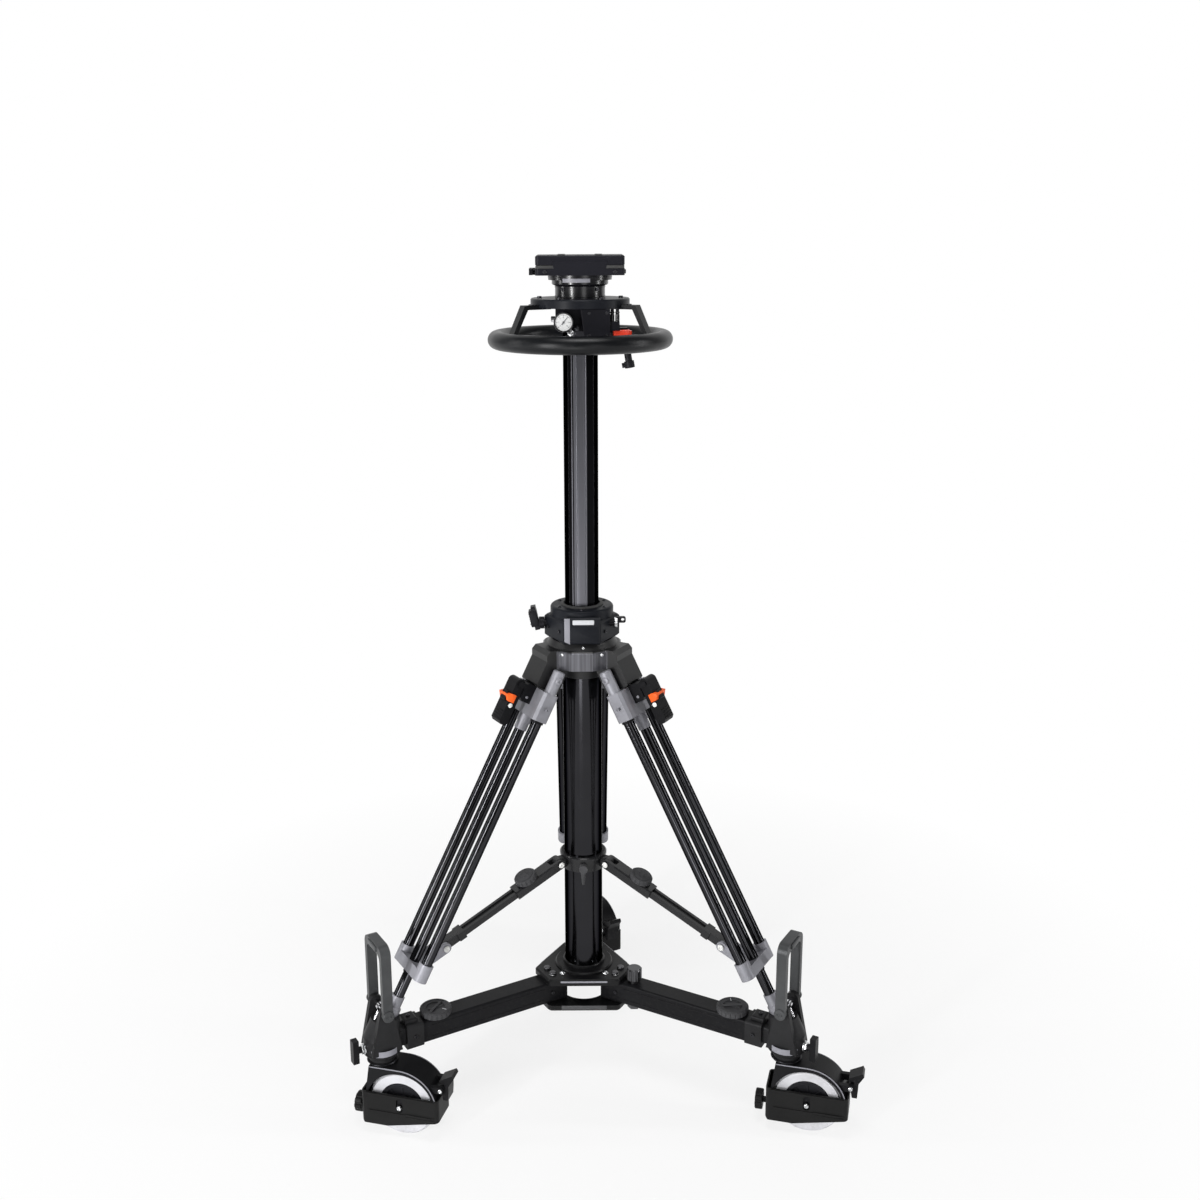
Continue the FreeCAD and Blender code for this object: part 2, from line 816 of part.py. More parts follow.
# Casters, drawn about the swivel axis with the trail along +X

def place_casters(make):
    """One caster piece per arm, turned to its own heading."""
    placed = {}
    for name, azimuth in arm_azimuths.items():
        x = caster_circle_radius * cos(radians(azimuth))
        y = caster_circle_radius * sin(radians(azimuth))
        placed[name] = moved(turned(make(), caster_headings[name]), x, y)
    return placed


def across(radius, y_low, y_high, x, z):
    """Cylinder along Y."""
    return Part.makeCylinder(radius, y_high - y_low, V(x, y_low, z), V(0, 1, 0))


def make_tread():
    half = wheel_width / 2
    edge = wheel_width * edge_share
    tread = spun([(tread_inner_radius, -half), (wheel_radius - edge, -half), (wheel_radius, edge - half),
                  (wheel_radius, half - edge), (wheel_radius - edge, half), (tread_inner_radius, half)])
    return moved(turned(tread, -90, V(1, 0, 0)), caster_trail, 0, wheel_radius)


def make_wheel_core():
    half = wheel_width / 2
    floor = half - core_recess_depth
    core = spun([(axle_radius + running_gap, -half), (hub_boss_radius, -half),
                 (hub_boss_radius, -floor), (core_recess_radius, -floor),
                 (core_recess_radius, -half), (tread_inner_radius, -half),
                 (tread_inner_radius, half), (core_recess_radius, half),
                 (core_recess_radius, floor), (hub_boss_radius, floor),
                 (hub_boss_radius, half), (axle_radius + running_gap, half)])
    return moved(turned(core, -90, V(1, 0, 0)), caster_trail, 0, wheel_radius)


def hood_shell():
    """Curved hood over the wheel, hollowed by the wheel's well."""
    x = caster_trail
    top = hood_top_z
    front = x - hood_radius
    tail = x + hood_radius
    arc_centre = top - hood_radius
    middle = hood_radius * cos(radians(45))
    arc = Part.Arc(V(x, 0, top), V(x + middle, 0, arc_centre + middle), V(tail, 0, arc_centre)).toShape()
    edges = [Part.makeLine(V(front, 0, hood_skirt_z), V(front + hood_top_lean, 0, top)),
             Part.makeLine(V(front + hood_top_lean, 0, top), V(x, 0, top)), arc,
             Part.makeLine(V(tail, 0, arc_centre), V(tail, 0, hood_skirt_z)),
             Part.makeLine(V(tail, 0, hood_skirt_z), V(front, 0, hood_skirt_z))]
    hood = Part.Face(Part.Wire(edges)).extrude(V(0, 2 * hood_half_width, 0))
    hood = moved(hood, 0, -hood_half_width)
    hood = hood.makeChamfer(hood_edge_chamfer, [e for e in hood.Edges
                            if e.Curve.TypeId == "Part::GeomCircle"])
    return hood.cut(wheel_well())


def wheel_well():
    return across(well_radius, -hood_half_width - overrun, hood_half_width + overrun,
                  caster_trail, wheel_radius)


def hood_strap(side):
    """Side strap that carries the axle."""
    z = wheel_radius
    y_low = min(side * (hood_half_width - strap_thickness), side * hood_half_width)
    strap = box(caster_trail - hood_radius, caster_trail, y_low, y_low + strap_thickness,
                z - strap_half_height, z + strap_half_height)
    return joined(strap, across(strap_half_height, y_low, y_low + strap_thickness, caster_trail, z))


def brake_ear(side):
    """Ear on the hood's trailing end for the brake lever's pin."""
    inner = brake_width / 2 + running_gap
    outer = hood_half_width - strap_thickness
    y_low = min(side * inner, side * outer)
    ear_x = caster_trail + hood_radius
    ear = box(ear_x - brake_ear_root, ear_x + brake_ear_reach, y_low, y_low + outer - inner,
              brake_pivot_z - brake_ear_half_height, brake_pivot_z + brake_ear_half_height)
    return ear.cut(wheel_well())


def brake_pin_place():
    return caster_trail + hood_radius + brake_ear_reach / 2


def make_caster_hood():
    """Hood with straps, swivel boss and stem, brake ears and pin, and the axle apart."""
    hood = hood_shell()
    for side in (-1, 1):
        hood = joined(hood, hood_strap(side), brake_ear(side))
    boss = upright(swivel_boss_radius, hood_top_z, clamp_bottom_z - swivel_thrust_gap)
    stem = upright(stem_radius, hood_top_z - overrun, clamp_stem_top())
    ear_outer = hood_half_width - strap_thickness
    pin = across(brake_pin_radius, -ear_outer, ear_outer, brake_pin_place(), brake_pivot_z)
    hood = joined(hood, boss, stem, pin)
    half = hood_half_width
    hood = hood.cut(across(axle_radius, -half - overrun, half + overrun, caster_trail, wheel_radius))
    axle = across(axle_radius, -half, half, caster_trail, wheel_radius)
    head_end = half + guard_gap + guard_wall
    heads = [across(axle_head_radius, -head_end, -half, caster_trail, wheel_radius),
             across(axle_head_radius, half, head_end, caster_trail, wheel_radius)]
    return group([hood, joined(axle, *heads)])


def make_brake_lever():
    """Foot pad on a bent lever that is hinged at the trailing end of the hood."""
    pin_x = brake_pin_place()
    z = brake_pivot_z
    t = brake_lever_thickness
    eye_radius = brake_eye_radius
    reach = brake_reach
    points = [(pin_x, z - eye_radius), (pin_x + t / 2, z - brake_hook_drop),
              (pin_x + 2 * t, z - brake_hook_drop), (pin_x + reach, z - t),
              (pin_x + reach, z + t), (pin_x + reach + brake_pad_length / 2, z + brake_pad_rise),
              (pin_x + reach + brake_pad_length / 2 - t / 2, z + brake_pad_rise + t),
              (pin_x - t / 2, z + brake_pad_rise - t),
              (pin_x - t / 2, z + brake_pad_rise - 2 * t), (pin_x + t, z + brake_pad_rise - 2 * t),
              (pin_x + t, z + eye_radius), (pin_x, z + eye_radius)]
    lever = side_profile(points, brake_width / 2)
    eye = across(eye_radius, -brake_width / 2, brake_width / 2, pin_x, z)
    lever = joined(lever, eye)
    return lever.cut(across(brake_pin_radius + running_gap, -brake_width, brake_width, pin_x, z))


def guard_outer_x():
    return hood_radius + guard_gap + guard_wall


def guard_outer_y():
    return hood_half_width + guard_gap + guard_wall


def guard_walls():
    """Ring of walls whose lower edge rises towards the trailing end."""
    outer_x = guard_outer_x()
    outer_y = guard_outer_y()
    skirt = box(-outer_x, outer_x, -outer_y, outer_y, guard_bottom_z, guard_top_z)
    skirt = skirt.makeFillet(guard_corner_radius, along_edges(skirt, V(0, 0, 1)))
    inner_x = outer_x - guard_wall
    inner_y = outer_y - guard_wall
    skirt = skirt.cut(box(-inner_x, inner_x, -inner_y, inner_y, guard_bottom_z - overrun,
                          guard_top_z + overrun))
    under = guard_bottom_z - overrun
    tail = side_profile([(-guard_rake_start, under), (-guard_rake_start, guard_bottom_z),
                         (outer_x, guard_bottom_z + guard_tail_rise),
                         (outer_x + overrun, guard_bottom_z + guard_tail_rise),
                         (outer_x + overrun, under)], outer_y + overrun)
    lead = side_profile([(guard_lead_chamfer - outer_x, under),
                         (guard_lead_chamfer - outer_x, guard_bottom_z),
                         (-outer_x, guard_bottom_z + guard_lead_chamfer),
                         (-outer_x - overrun, guard_bottom_z + guard_lead_chamfer),
                         (-outer_x - overrun, under)], outer_y + overrun)
    return skirt.cut([tail, lead])


def guard_slot(side):
    """Upright slot round the axle's head."""
    low = wheel_radius - guard_slot_drop
    high = low + guard_slot_height
    near = side * (hood_half_width - overrun)
    far = side * (guard_outer_y() + overrun)
    y_low = min(near, far)
    y_high = max(near, far)
    return joined(across(guard_slot_radius, y_low, y_high, 0, low),
                  across(guard_slot_radius, y_low, y_high, 0, high),
                  box(-guard_slot_radius, guard_slot_radius, y_low, y_high, low, high))


def guard_rib(side):
    y_low = min(side * guard_outer_y(), side * (guard_outer_y() + guard_rib_height))
    half = guard_outer_x() - 2 * guard_corner_radius
    return box(-half, half, y_low, y_low + guard_rib_height, guard_rib_low,
               guard_rib_low + 2 * guard_rib_height)


def guard_knob():
    """Fluted clamp knob on the leading end."""
    end = -guard_outer_x() - guard_knob_standoff
    stem = rod(guard_knob_stem_radius, V(-guard_outer_x(), 0, guard_knob_z), V(end, 0, guard_knob_z))
    knob = fluted_knob(guard_knob_radius, guard_knob_thickness, guard_knob_flutes,
                       guard_knob_flute_radius, guard_knob_flute_radius / 2)
    return joined(stem, moved(turned(knob, -90, V(0, 1, 0)), end, 0, guard_knob_z))


def make_cable_guard():
    """Skirt round the wheel with a slot on each side, and its clamp knob."""
    skirt = guard_walls()
    for side in (-1, 1):
        skirt = joined(skirt.cut(guard_slot(side)), guard_rib(side))
    return group([moved(skirt, caster_trail), moved(guard_knob(), caster_trail)])


# Outer column, crown and head

def make_outer_column():
    """Closed-bottom tube that the piston runs in."""
    tube = spun([(0, column_bottom_z), (column_radius, column_bottom_z),
                 (column_radius, column_top_z), (column_bore_radius, column_top_z),
                 (column_bore_radius, column_bottom_z + column_floor), (0, column_bottom_z + column_floor)])
    return tube


def lean_leg(shape):
    """From a leg piece drawn hanging from its hinge, outward side +X, to its place."""
    return moved(turned(shape, -leg_lean_angle, V(0, 1, 0)), leg_hinge_radius, 0, leg_hinge_z)


def legs_of(make):
    return around_arms(lean_leg(make()))


def make_crown():
    """Twelve-sided bowl with three clevis lugs and slanted leg heads."""
    body = regular_prism(crown_inradius, crown_sides, crown_bottom_z, crown_side_top_z)
    body = body.makeChamfer(lug_chamfer / 2, edges_at_height(body, crown_side_top_z))
    dome = spun([(0, crown_side_top_z - overrun),
                 (crown_top_radius + lug_chamfer, crown_side_top_z - overrun),
                 (crown_top_radius + lug_chamfer, crown_side_top_z),
                 (crown_top_radius, crown_top_z), (0, crown_top_z)])
    boss = spun([(0, crown_boss_bottom_z), (crown_boss_low_radius, crown_boss_bottom_z),
                 (crown_boss_radius, crown_bottom_z), (0, crown_bottom_z)])
    body = joined(body, dome, boss)
    lug = side_profile([(column_radius + lug_chamfer, crown_bottom_z), (lug_radius, crown_bottom_z),
                        (lug_radius, crown_side_top_z - lug_chamfer),
                        (lug_radius - lug_chamfer, crown_side_top_z),
                        (column_radius + lug_chamfer, crown_side_top_z)], lug_half_width)
    head = box(-leg_head_half_depth, leg_head_half_depth, -lug_half_width, lug_half_width,
               -leg_head_bottom, leg_head_top)
    head = head.makeFillet(leg_head_fillet, along_edges(head, V(0, 1, 0)))
    lug = joined(lug, lean_leg(head))
    pin_hole = lean_leg(across(leg_pin_radius + bolt_gap, -casting_half_width - overrun,
                               casting_half_width + overrun, 0, -leg_pin_drop))
    for shape in around_arms(lug.cut(pin_hole)).values():
        body = joined(body, shape)
    for shape in around_arms(pin_hole).values():
        body = body.cut(shape)
    return body.cut(upright(column_radius + bolt_gap, crown_boss_bottom_z - overrun,
                            crown_top_z + overrun))


def head_shield():
    """Bevelled shield on the front flat; it stands a little in front of the cap."""
    low = crown_top_z + shield_foot_gap
    high = head_block_top_z + shield_above_block
    front = -head_block_inradius - shield_proud
    back = -cap_radius - shield_cap_gap
    plate = box(-shield_half_width, shield_half_width, front, back, low, high)
    face_edges = [e for e in plate.Edges if e.BoundBox.YMax < front + running_gap]
    return plate.makeChamfer(shield_chamfer, face_edges)


def make_head_block():
    """Hexagonal clamp block round the top of the outer column, with a shield in front."""
    block = regular_prism(head_block_inradius, head_block_sides, crown_top_z, head_block_top_z)
    block = block.makeChamfer(head_block_chamfer, edges_at_height(block, crown_top_z))
    block = block.makeChamfer(head_block_chamfer, edges_at_height(block, head_block_top_z))
    block = joined(block, head_shield())
    block = block.cut(upright(column_radius + bolt_gap, crown_top_z - overrun, column_top_z))
    bush_outer = inner_half_width + bush_wall
    block = block.cut(upright(bush_outer + bolt_gap, column_top_z - overrun,
                              head_block_top_z + overrun))
    for x_sign, z in ((-1, brake_axis_z), (1, cam_axis_z)):
        start = V(x_sign * (column_radius + column_wall), brake_y(x_sign), z)
        end = V(x_sign * 2 * head_block_inradius, brake_y(x_sign), z)
        block = block.cut(rod(lever_shaft_radius(x_sign) + running_gap, start, end))
    return block


def brake_y(x_sign):
    """The brake shaft lies on the middle plane, the cam shaft nearer the front."""
    return 0.0 if x_sign < 0 else -cam_forward


def lever_shaft_radius(x_sign):
    return brake_shaft_radius if x_sign < 0 else cam_shaft_radius


def make_head_cap():
    cap = spun([(0, head_block_top_z), (cap_radius, head_block_top_z),
                (cap_radius, cap_top_z), (0, cap_top_z)])
    cap = cap.makeFillet(cap_fillet, edges_at_height(cap, cap_top_z))
    low = head_block_top_z + cap_lip
    cap = cap.cut(upright(inner_half_width + bush_wall + bolt_gap, head_block_top_z - overrun, low))
    return cap.cut(inner_outline(slide_gap, low - overrun, cap_top_z + overrun))


def inner_outline(growth, low, high):
    """Faceted section of the inner column with a fine groove down each corner."""
    section = regular_prism(inner_half_width + growth, inner_sides, low, high)
    outer = (inner_half_width + growth) / cos(radians(180.0 / inner_sides))
    cutters = []
    for k in range(inner_sides):
        angle = radians(-90.0 + 180.0 / inner_sides + 360.0 * k / inner_sides)
        cutters.append(upright(inner_groove_radius - growth, low - overrun, high + overrun,
                               outer * cos(angle), outer * sin(angle)))
    return section.cut(cutters)


def make_guide_bush():
    low = column_top_z
    high = head_block_top_z + cap_lip
    ring = upright(inner_half_width + bush_wall, low, high)
    return ring.cut(inner_outline(running_gap, low - overrun, high + overrun))


def make_column_brake():
    """Column brake: shaft into the block, knurled boss and a leaning paddle."""
    boss_low = -head_block_inradius / cos(radians(30)) - slide_gap - brake_boss_length
    boss = rod(brake_boss_radius, V(boss_low + brake_boss_length, 0, brake_axis_z),
               V(boss_low, 0, brake_axis_z))
    shaft = rod(brake_shaft_radius, V(boss_low - paddle_thickness / 2, 0, brake_axis_z),
                V(brake_shaft_inner_x, 0, brake_axis_z))
    half_w = paddle_width / 2
    paddle = box(-paddle_thickness, 0, -half_w, half_w, -paddle_height * quarter_share,
                 paddle_height * (1 - quarter_share))
    paddle = paddle.makeFillet(paddle_thickness * fillet_share, along_edges(paddle, V(1, 0, 0)))
    paddle = turned(paddle, -paddle_lean_angle, V(0, 1, 0))
    return joined(boss, shaft, moved(paddle, boss_low, 0, brake_axis_z))


def make_cam_lever():
    """Wing lever on the right of the clamp block."""
    nearest = cam_forward - cam_boss_radius
    face = (head_block_inradius - nearest * sin(radians(30))) / cos(radians(30))
    boss_start = face + slide_gap
    shaft = rod(cam_shaft_radius, V(cam_shaft_inner_x, -cam_forward, cam_axis_z),
                V(boss_start + overrun, -cam_forward, cam_axis_z))
    boss = rod(cam_boss_radius, V(boss_start, -cam_forward, cam_axis_z),
               V(boss_start + cam_boss_length, -cam_forward, cam_axis_z))
    wing = box(0, cam_wing_length, -cam_wing_thickness / 2, cam_wing_thickness / 2, 0, cam_wing_height)
    wing = wing.makeFillet(cam_wing_height * fillet_share, along_edges(wing, V(0, 1, 0)))
    wing = wing.cut(across(cam_hole_radius, -cam_wing_thickness, cam_wing_thickness,
                           cam_wing_length - cam_wing_height / 2, cam_wing_height / 2))
    wing_x = boss_start + cam_boss_length - cam_wing_thickness
    return joined(shaft, boss, moved(wing, wing_x, -cam_forward, cam_axis_z))


# Tripod legs

def make_leg_casting():
    """Cross casting that carries the twin tubes, with a hinge barrel above each of them."""
    bar = box(-casting_half_depth, casting_half_depth, -casting_half_width, casting_half_width,
              -casting_bottom, -casting_top)
    bar = bar.makeChamfer(casting_chamfer, along_edges(bar, V(0, 0, 1)))
    for side in (-1, 1):
        y = side * leg_tube_half_spacing
        barrel = upright(ear_barrel_radius, -casting_top, ear_barrel_top, 0, y)
        bar = joined(bar, barrel.makeFillet(ear_barrel_radius * fillet_share,
                                            edges_at_height(barrel, ear_barrel_top)))
        bar = bar.cut(upright(leg_tube_radius + running_gap, -casting_bottom - overrun,
                              -casting_top - casting_chamfer, 0, y))
    bar = bar.cut(across(leg_pin_radius + bolt_gap, -casting_half_width - overrun,
                         casting_half_width + overrun, 0, -leg_pin_drop))
    neck = upright(sleeve_step_radius, -casting_bottom - sleeve_step_length, -casting_bottom)
    end = -casting_bottom - sleeve_step_length - sleeve_neck_length
    collar = upright(sleeve_neck_radius, end, -casting_bottom)
    bar = joined(bar, neck, collar)
    return bar.cut(upright(leg_tube_radius + running_gap, end - overrun,
                           -casting_top - 2 * casting_chamfer))


def make_leg_tubes():
    """Twin upper tubes and the lower tube that slides between them."""
    pieces = []
    bore = leg_tube_radius - leg_tube_wall
    for side in (-1, 1):
        y = side * leg_tube_half_spacing
        tube = upright(leg_tube_radius, -bracket_top - casting_chamfer,
                       -casting_top - casting_chamfer, 0, y)
        pieces.append(tube.cut(upright(bore, -bracket_top - 2 * overrun, -casting_top, 0, y)))
    lower = upright(leg_tube_radius, -foot_socket_bottom, -casting_bottom + casting_chamfer)
    pieces.append(lower.cut(upright(bore, -foot_socket_bottom - overrun, -casting_top)))
    return group(pieces)


def make_leg_bracket():
    """Cross piece at the foot of the twin tubes, with the spreader's lug on its inner side."""
    bridge_top = bracket_bridge_height - bracket_bottom
    bar = box(-bracket_half_depth, bracket_half_depth, -leg_tube_half_spacing, leg_tube_half_spacing,
              -bracket_bottom, bridge_top)
    for side in (-1, 1):
        y = side * leg_tube_half_spacing
        bar = joined(bar, upright(bracket_knuckle_radius, -bracket_bottom, -bracket_top, 0, y))
    lug_x, lug_z = spreader_eye_in_leg()
    for side in (-1, 1):
        y_low = min(side * lug_plate_half_gap, side * (lug_plate_half_gap + lug_plate_thickness))
        angle = atan2(-bracket_bottom - lug_z, bracket_half_depth - lug_x)
        side_x = lug_eye_radius * sin(angle)
        side_z = lug_eye_radius * cos(angle)
        corners = [V(lug_x + side_x, y_low, lug_z - side_z),
                   V(-bracket_half_depth + casting_chamfer, y_low, -bracket_bottom),
                   V(-bracket_half_depth + casting_chamfer, y_low, bridge_top),
                   V(lug_x - side_x, y_low, lug_z + side_z)]
        plate = Part.Face(Part.makePolygon(corners + corners[:1])).extrude(V(0, lug_plate_thickness, 0))
        eye = across(lug_eye_radius, y_low, y_low + lug_plate_thickness, lug_x, lug_z)
        bar = joined(bar, plate, eye)
    bar = bar.cut(across(spreader_pin_radius + bolt_gap, -2 * lug_plate_half_gap, 2 * lug_plate_half_gap,
                         lug_x, lug_z))
    for side in (-1, 1):
        bar = bar.cut(upright(leg_tube_radius + running_gap, -bracket_top - casting_chamfer,
                              -bracket_top + overrun, 0, side * leg_tube_half_spacing))
    return bar.cut(upright(leg_tube_radius + running_gap, -bracket_bottom - overrun,
                           bridge_top + overrun))


def spreader_eye_in_leg():
    """The spreader's outer pin in the frame of an undrawn, hanging leg."""
    dx = spreader_end_radius - leg_hinge_radius
    dz = spreader_end_z - leg_hinge_z
    angle = radians(leg_lean_angle)
    return dx * cos(angle) + dz * sin(angle), dz * cos(angle) - dx * sin(angle)


def make_lock_housing():
    """Block on the outer side of the casting with two ears for the lever's pin."""
    block = box(casting_half_depth, casting_half_depth + housing_depth, -housing_half_width,
                housing_half_width, -housing_bottom, -housing_top)
    top = casting_half_depth + housing_depth
    block = block.makeChamfer(casting_chamfer, [e for e in along_edges(block, V(0, 1, 0))
                                                if e.BoundBox.XMin > top - running_gap])
    ear_x = top + leg_lever_gap + leg_lever_thickness / 2
    for side in (-1, 1):
        inner = side * (leg_lever_half_width + running_gap)
        y_low = min(inner, side * housing_half_width)
        thickness = housing_half_width - leg_lever_half_width - running_gap
        ear = box(top - casting_chamfer * 2, ear_x, y_low, y_low + thickness,
                  -leg_lever_pivot_drop - casting_chamfer, -leg_lever_pivot_drop + casting_chamfer)
        end = across(casting_chamfer, y_low, y_low + thickness, ear_x, -leg_lever_pivot_drop)
        block = joined(block, ear, end)
    pin = across(leg_lever_pin_radius, -housing_half_width, housing_half_width,
                 ear_x, -leg_lever_pivot_drop)
    return joined(block, pin)


def make_leg_lever():
    """Long flat lever with a coloured tab standing out of its face."""
    near = casting_half_depth + housing_depth + leg_lever_gap
    far = near + leg_lever_thickness
    points = [(near, -leg_lever_pivot_drop), (far, -leg_lever_pivot_drop),
              (far, -leg_lever_bottom + leg_lever_taper),
              (far - leg_lever_taper, -leg_lever_bottom), (near + leg_lever_taper, -leg_lever_bottom),
              (near, -leg_lever_bottom + leg_lever_taper)]
    lever = side_profile(points, leg_lever_half_width)
    pin_x = near + leg_lever_thickness / 2
    lever = joined(lever, across(leg_lever_thickness / 2, -leg_lever_half_width,
                                 leg_lever_half_width, pin_x, -leg_lever_pivot_drop))
    lever = lever.cut(across(leg_lever_pin_radius + running_gap, -housing_half_width - overrun,
                             housing_half_width + overrun, pin_x, -leg_lever_pivot_drop))
    tab = box(far - tab_sink, far + tab_proud, -tab_half_width, tab_half_width,
              -tab_drop - tab_length, -tab_drop)
    lever = lever.cut(tab)
    tab = tab.makeFillet(tab_proud / 2, [e for e in along_edges(tab, V(0, 1, 0))
                                         if e.BoundBox.XMin > far + running_gap])
    return group([lever, tab])


def make_leg_foot():
    """Stepped foot on the lower tube; its tip seats in the clamp's pocket."""
    foot = spun([(0, -foot_neck_top), (foot_neck_radius, -foot_neck_top),
                 (foot_neck_radius, -foot_boss_top), (foot_boss_radius, -foot_boss_top - overrun),
                 (foot_boss_radius, -foot_boss_bottom), (foot_tip_radius, -foot_boss_bottom),
                 (foot_tip_radius, -foot_tip_bottom + overrun),
                 (foot_tip_radius - overrun, -foot_tip_bottom), (0, -foot_tip_bottom)])
    socket = upright(leg_tube_radius + running_gap, -foot_socket_bottom, -foot_neck_top + overrun)
    return foot.cut(socket)


def make_pivot_pins():
    """Steel pins of the leg hinges, spreader ends and clamp levers, and the clamps' draw rods."""
    leg_pin = lean_leg(across(leg_pin_radius, -casting_half_width, casting_half_width, 0, -leg_pin_drop))
    hub_half = spreader_lug_half_width + spreader_fork_thickness + slide_gap + overrun
    hub_pin = across(spreader_pin_radius, -hub_half, hub_half, spreader_pivot_radius, spreader_pivot_z)
    eye_half = lug_plate_half_gap + lug_plate_thickness + overrun
    end_pin = across(spreader_pin_radius, -eye_half, eye_half, spreader_end_radius, spreader_end_z)
    loop_half = ear_inner_half_gap + ear_thickness + slide_gap + loop_bar_width
    loop_pin = across(loop_pin_radius, -loop_half, loop_half, 0, loop_pivot_z)
    eye = across(rod_eye_radius, -rod_eye_radius / 2, rod_eye_radius / 2, 0, loop_pivot_z)
    draw = rod(rod_radius, V(0, 0, loop_pivot_z), V(rod_lean, 0, loop_pivot_z - rod_drop))
    loop_pin = clamp_axis_frame(joined(loop_pin, eye, draw))
    pieces = []
    for pin in (leg_pin, hub_pin, end_pin, loop_pin):
        pieces += list(around_arms(pin).values())
    return group(pieces)


# Mid spreader

def spreader_length():
    return hypot(spreader_end_radius - spreader_pivot_radius, spreader_pivot_z - spreader_end_z)


def lean_spreader(shape):
    """From an arm drawn along +X from its inner pin to its place."""
    slope = degrees(atan2(spreader_pivot_z - spreader_end_z, spreader_end_radius - spreader_pivot_radius))
    return moved(turned(shape, slope, V(0, 1, 0)), spreader_pivot_radius, 0, spreader_pivot_z)


def make_spreader_hub():
    """Split collar on the outer column with a lug for each arm."""
    lip_low = spreader_hub_top_z - spreader_lip_height
    body = spun([(0, spreader_hub_bottom_z), (spreader_hub_radius, spreader_hub_bottom_z),
                 (spreader_hub_radius, lip_low), (spreader_lip_radius, lip_low),
                 (spreader_lip_radius, spreader_hub_top_z - overrun),
                 (spreader_lip_radius - overrun, spreader_hub_top_z), (0, spreader_hub_top_z)])
    half_h = spreader_lug_height / 2
    lug = joined(box(column_radius + overrun, spreader_pivot_radius, -spreader_lug_half_width,
                     spreader_lug_half_width, spreader_pivot_z - half_h, spreader_pivot_z + half_h),
                 across(half_h, -spreader_lug_half_width, spreader_lug_half_width,
                        spreader_pivot_radius, spreader_pivot_z))
    hole = across(spreader_pin_radius + bolt_gap, -spreader_hub_radius, spreader_hub_radius,
                  spreader_pivot_radius, spreader_pivot_z)
    for shape in around_arms(lug.cut(hole)).values():
        body = joined(body, shape)
    body = body.cut(upright(column_radius + bolt_gap, spreader_hub_bottom_z - overrun,
                            spreader_hub_top_z + overrun))
    lever_hole = rod(spreader_lever_boss_radius / 2 + bolt_gap, V(0, -column_radius, spreader_lever_z),
                     V(0, -2 * spreader_hub_radius, spreader_lever_z))
    return body.cut(lever_hole)


def make_spreader_arm():
    """Forked sleeve and the slotted bar that slides in it, ending in a tongue."""
    fork_outer = spreader_lug_half_width + slide_gap + spreader_fork_thickness
    half_h = spreader_sleeve_half_height
    sleeve = box(spreader_sleeve_start, spreader_sleeve_end, -spreader_sleeve_half_width,
                 spreader_sleeve_half_width, -half_h, half_h)
    sleeve = sleeve.makeChamfer(overrun, along_edges(sleeve, V(1, 0, 0)))
    tunnel = box(spreader_bar_start - overrun, spreader_sleeve_end + overrun,
                 -spreader_bar_half_width - slide_gap, spreader_bar_half_width + slide_gap,
                 -spreader_bar_half_height - slide_gap, spreader_bar_half_height + slide_gap)
    sleeve = sleeve.cut(tunnel)
    for side in (-1, 1):
        y_low = min(side * (fork_outer - spreader_fork_thickness), side * fork_outer)
        cheek = box(0, spreader_sleeve_start + overrun, y_low, y_low + spreader_fork_thickness,
                    -half_h, half_h)
        eye = across(half_h, y_low, y_low + spreader_fork_thickness, 0, 0)
        sleeve = joined(sleeve, cheek, eye)
    pin_reach = 2 * fork_outer
    sleeve = sleeve.cut(across(spreader_pin_radius + bolt_gap, -pin_reach, pin_reach, 0, 0))
    sleeve = sleeve.cut(upright(spreader_slot_stem_radius() + bolt_gap, -half_h / 2, 2 * half_h,
                                spreader_knob_place))
    end = spreader_length()
    bar_end = end - spreader_tongue_length
    bar = box(spreader_bar_start, bar_end, -spreader_bar_half_width, spreader_bar_half_width,
              -spreader_bar_half_height, spreader_bar_half_height)
    slot = box(spreader_bar_start + spreader_eye_radius, bar_end - spreader_eye_radius,
               -spreader_bar_slot_half_width, spreader_bar_slot_half_width,
               -spreader_eye_radius, spreader_eye_radius)
    bar = bar.cut(slot)
    tongue_half = lug_plate_half_gap - slide_gap
    block_high = spreader_bar_half_height + overrun
    block = box(bar_end - spreader_tongue_length / 2, bar_end, -spreader_bar_half_width - overrun,
                spreader_bar_half_width + overrun, -block_high, block_high)
    tongue = box(bar_end, end, -tongue_half, tongue_half, -block_high, block_high)
    eye = across(spreader_eye_radius - overrun / 2, -tongue_half, tongue_half, end, 0)
    bar = joined(bar, block, tongue, eye)
    bar = bar.cut(across(spreader_pin_radius + bolt_gap, -2 * lug_plate_half_gap,
                         2 * lug_plate_half_gap, end, 0))
    return group([sleeve, bar])


def spreader_slot_stem_radius():
    return spreader_bar_slot_half_width - slide_gap


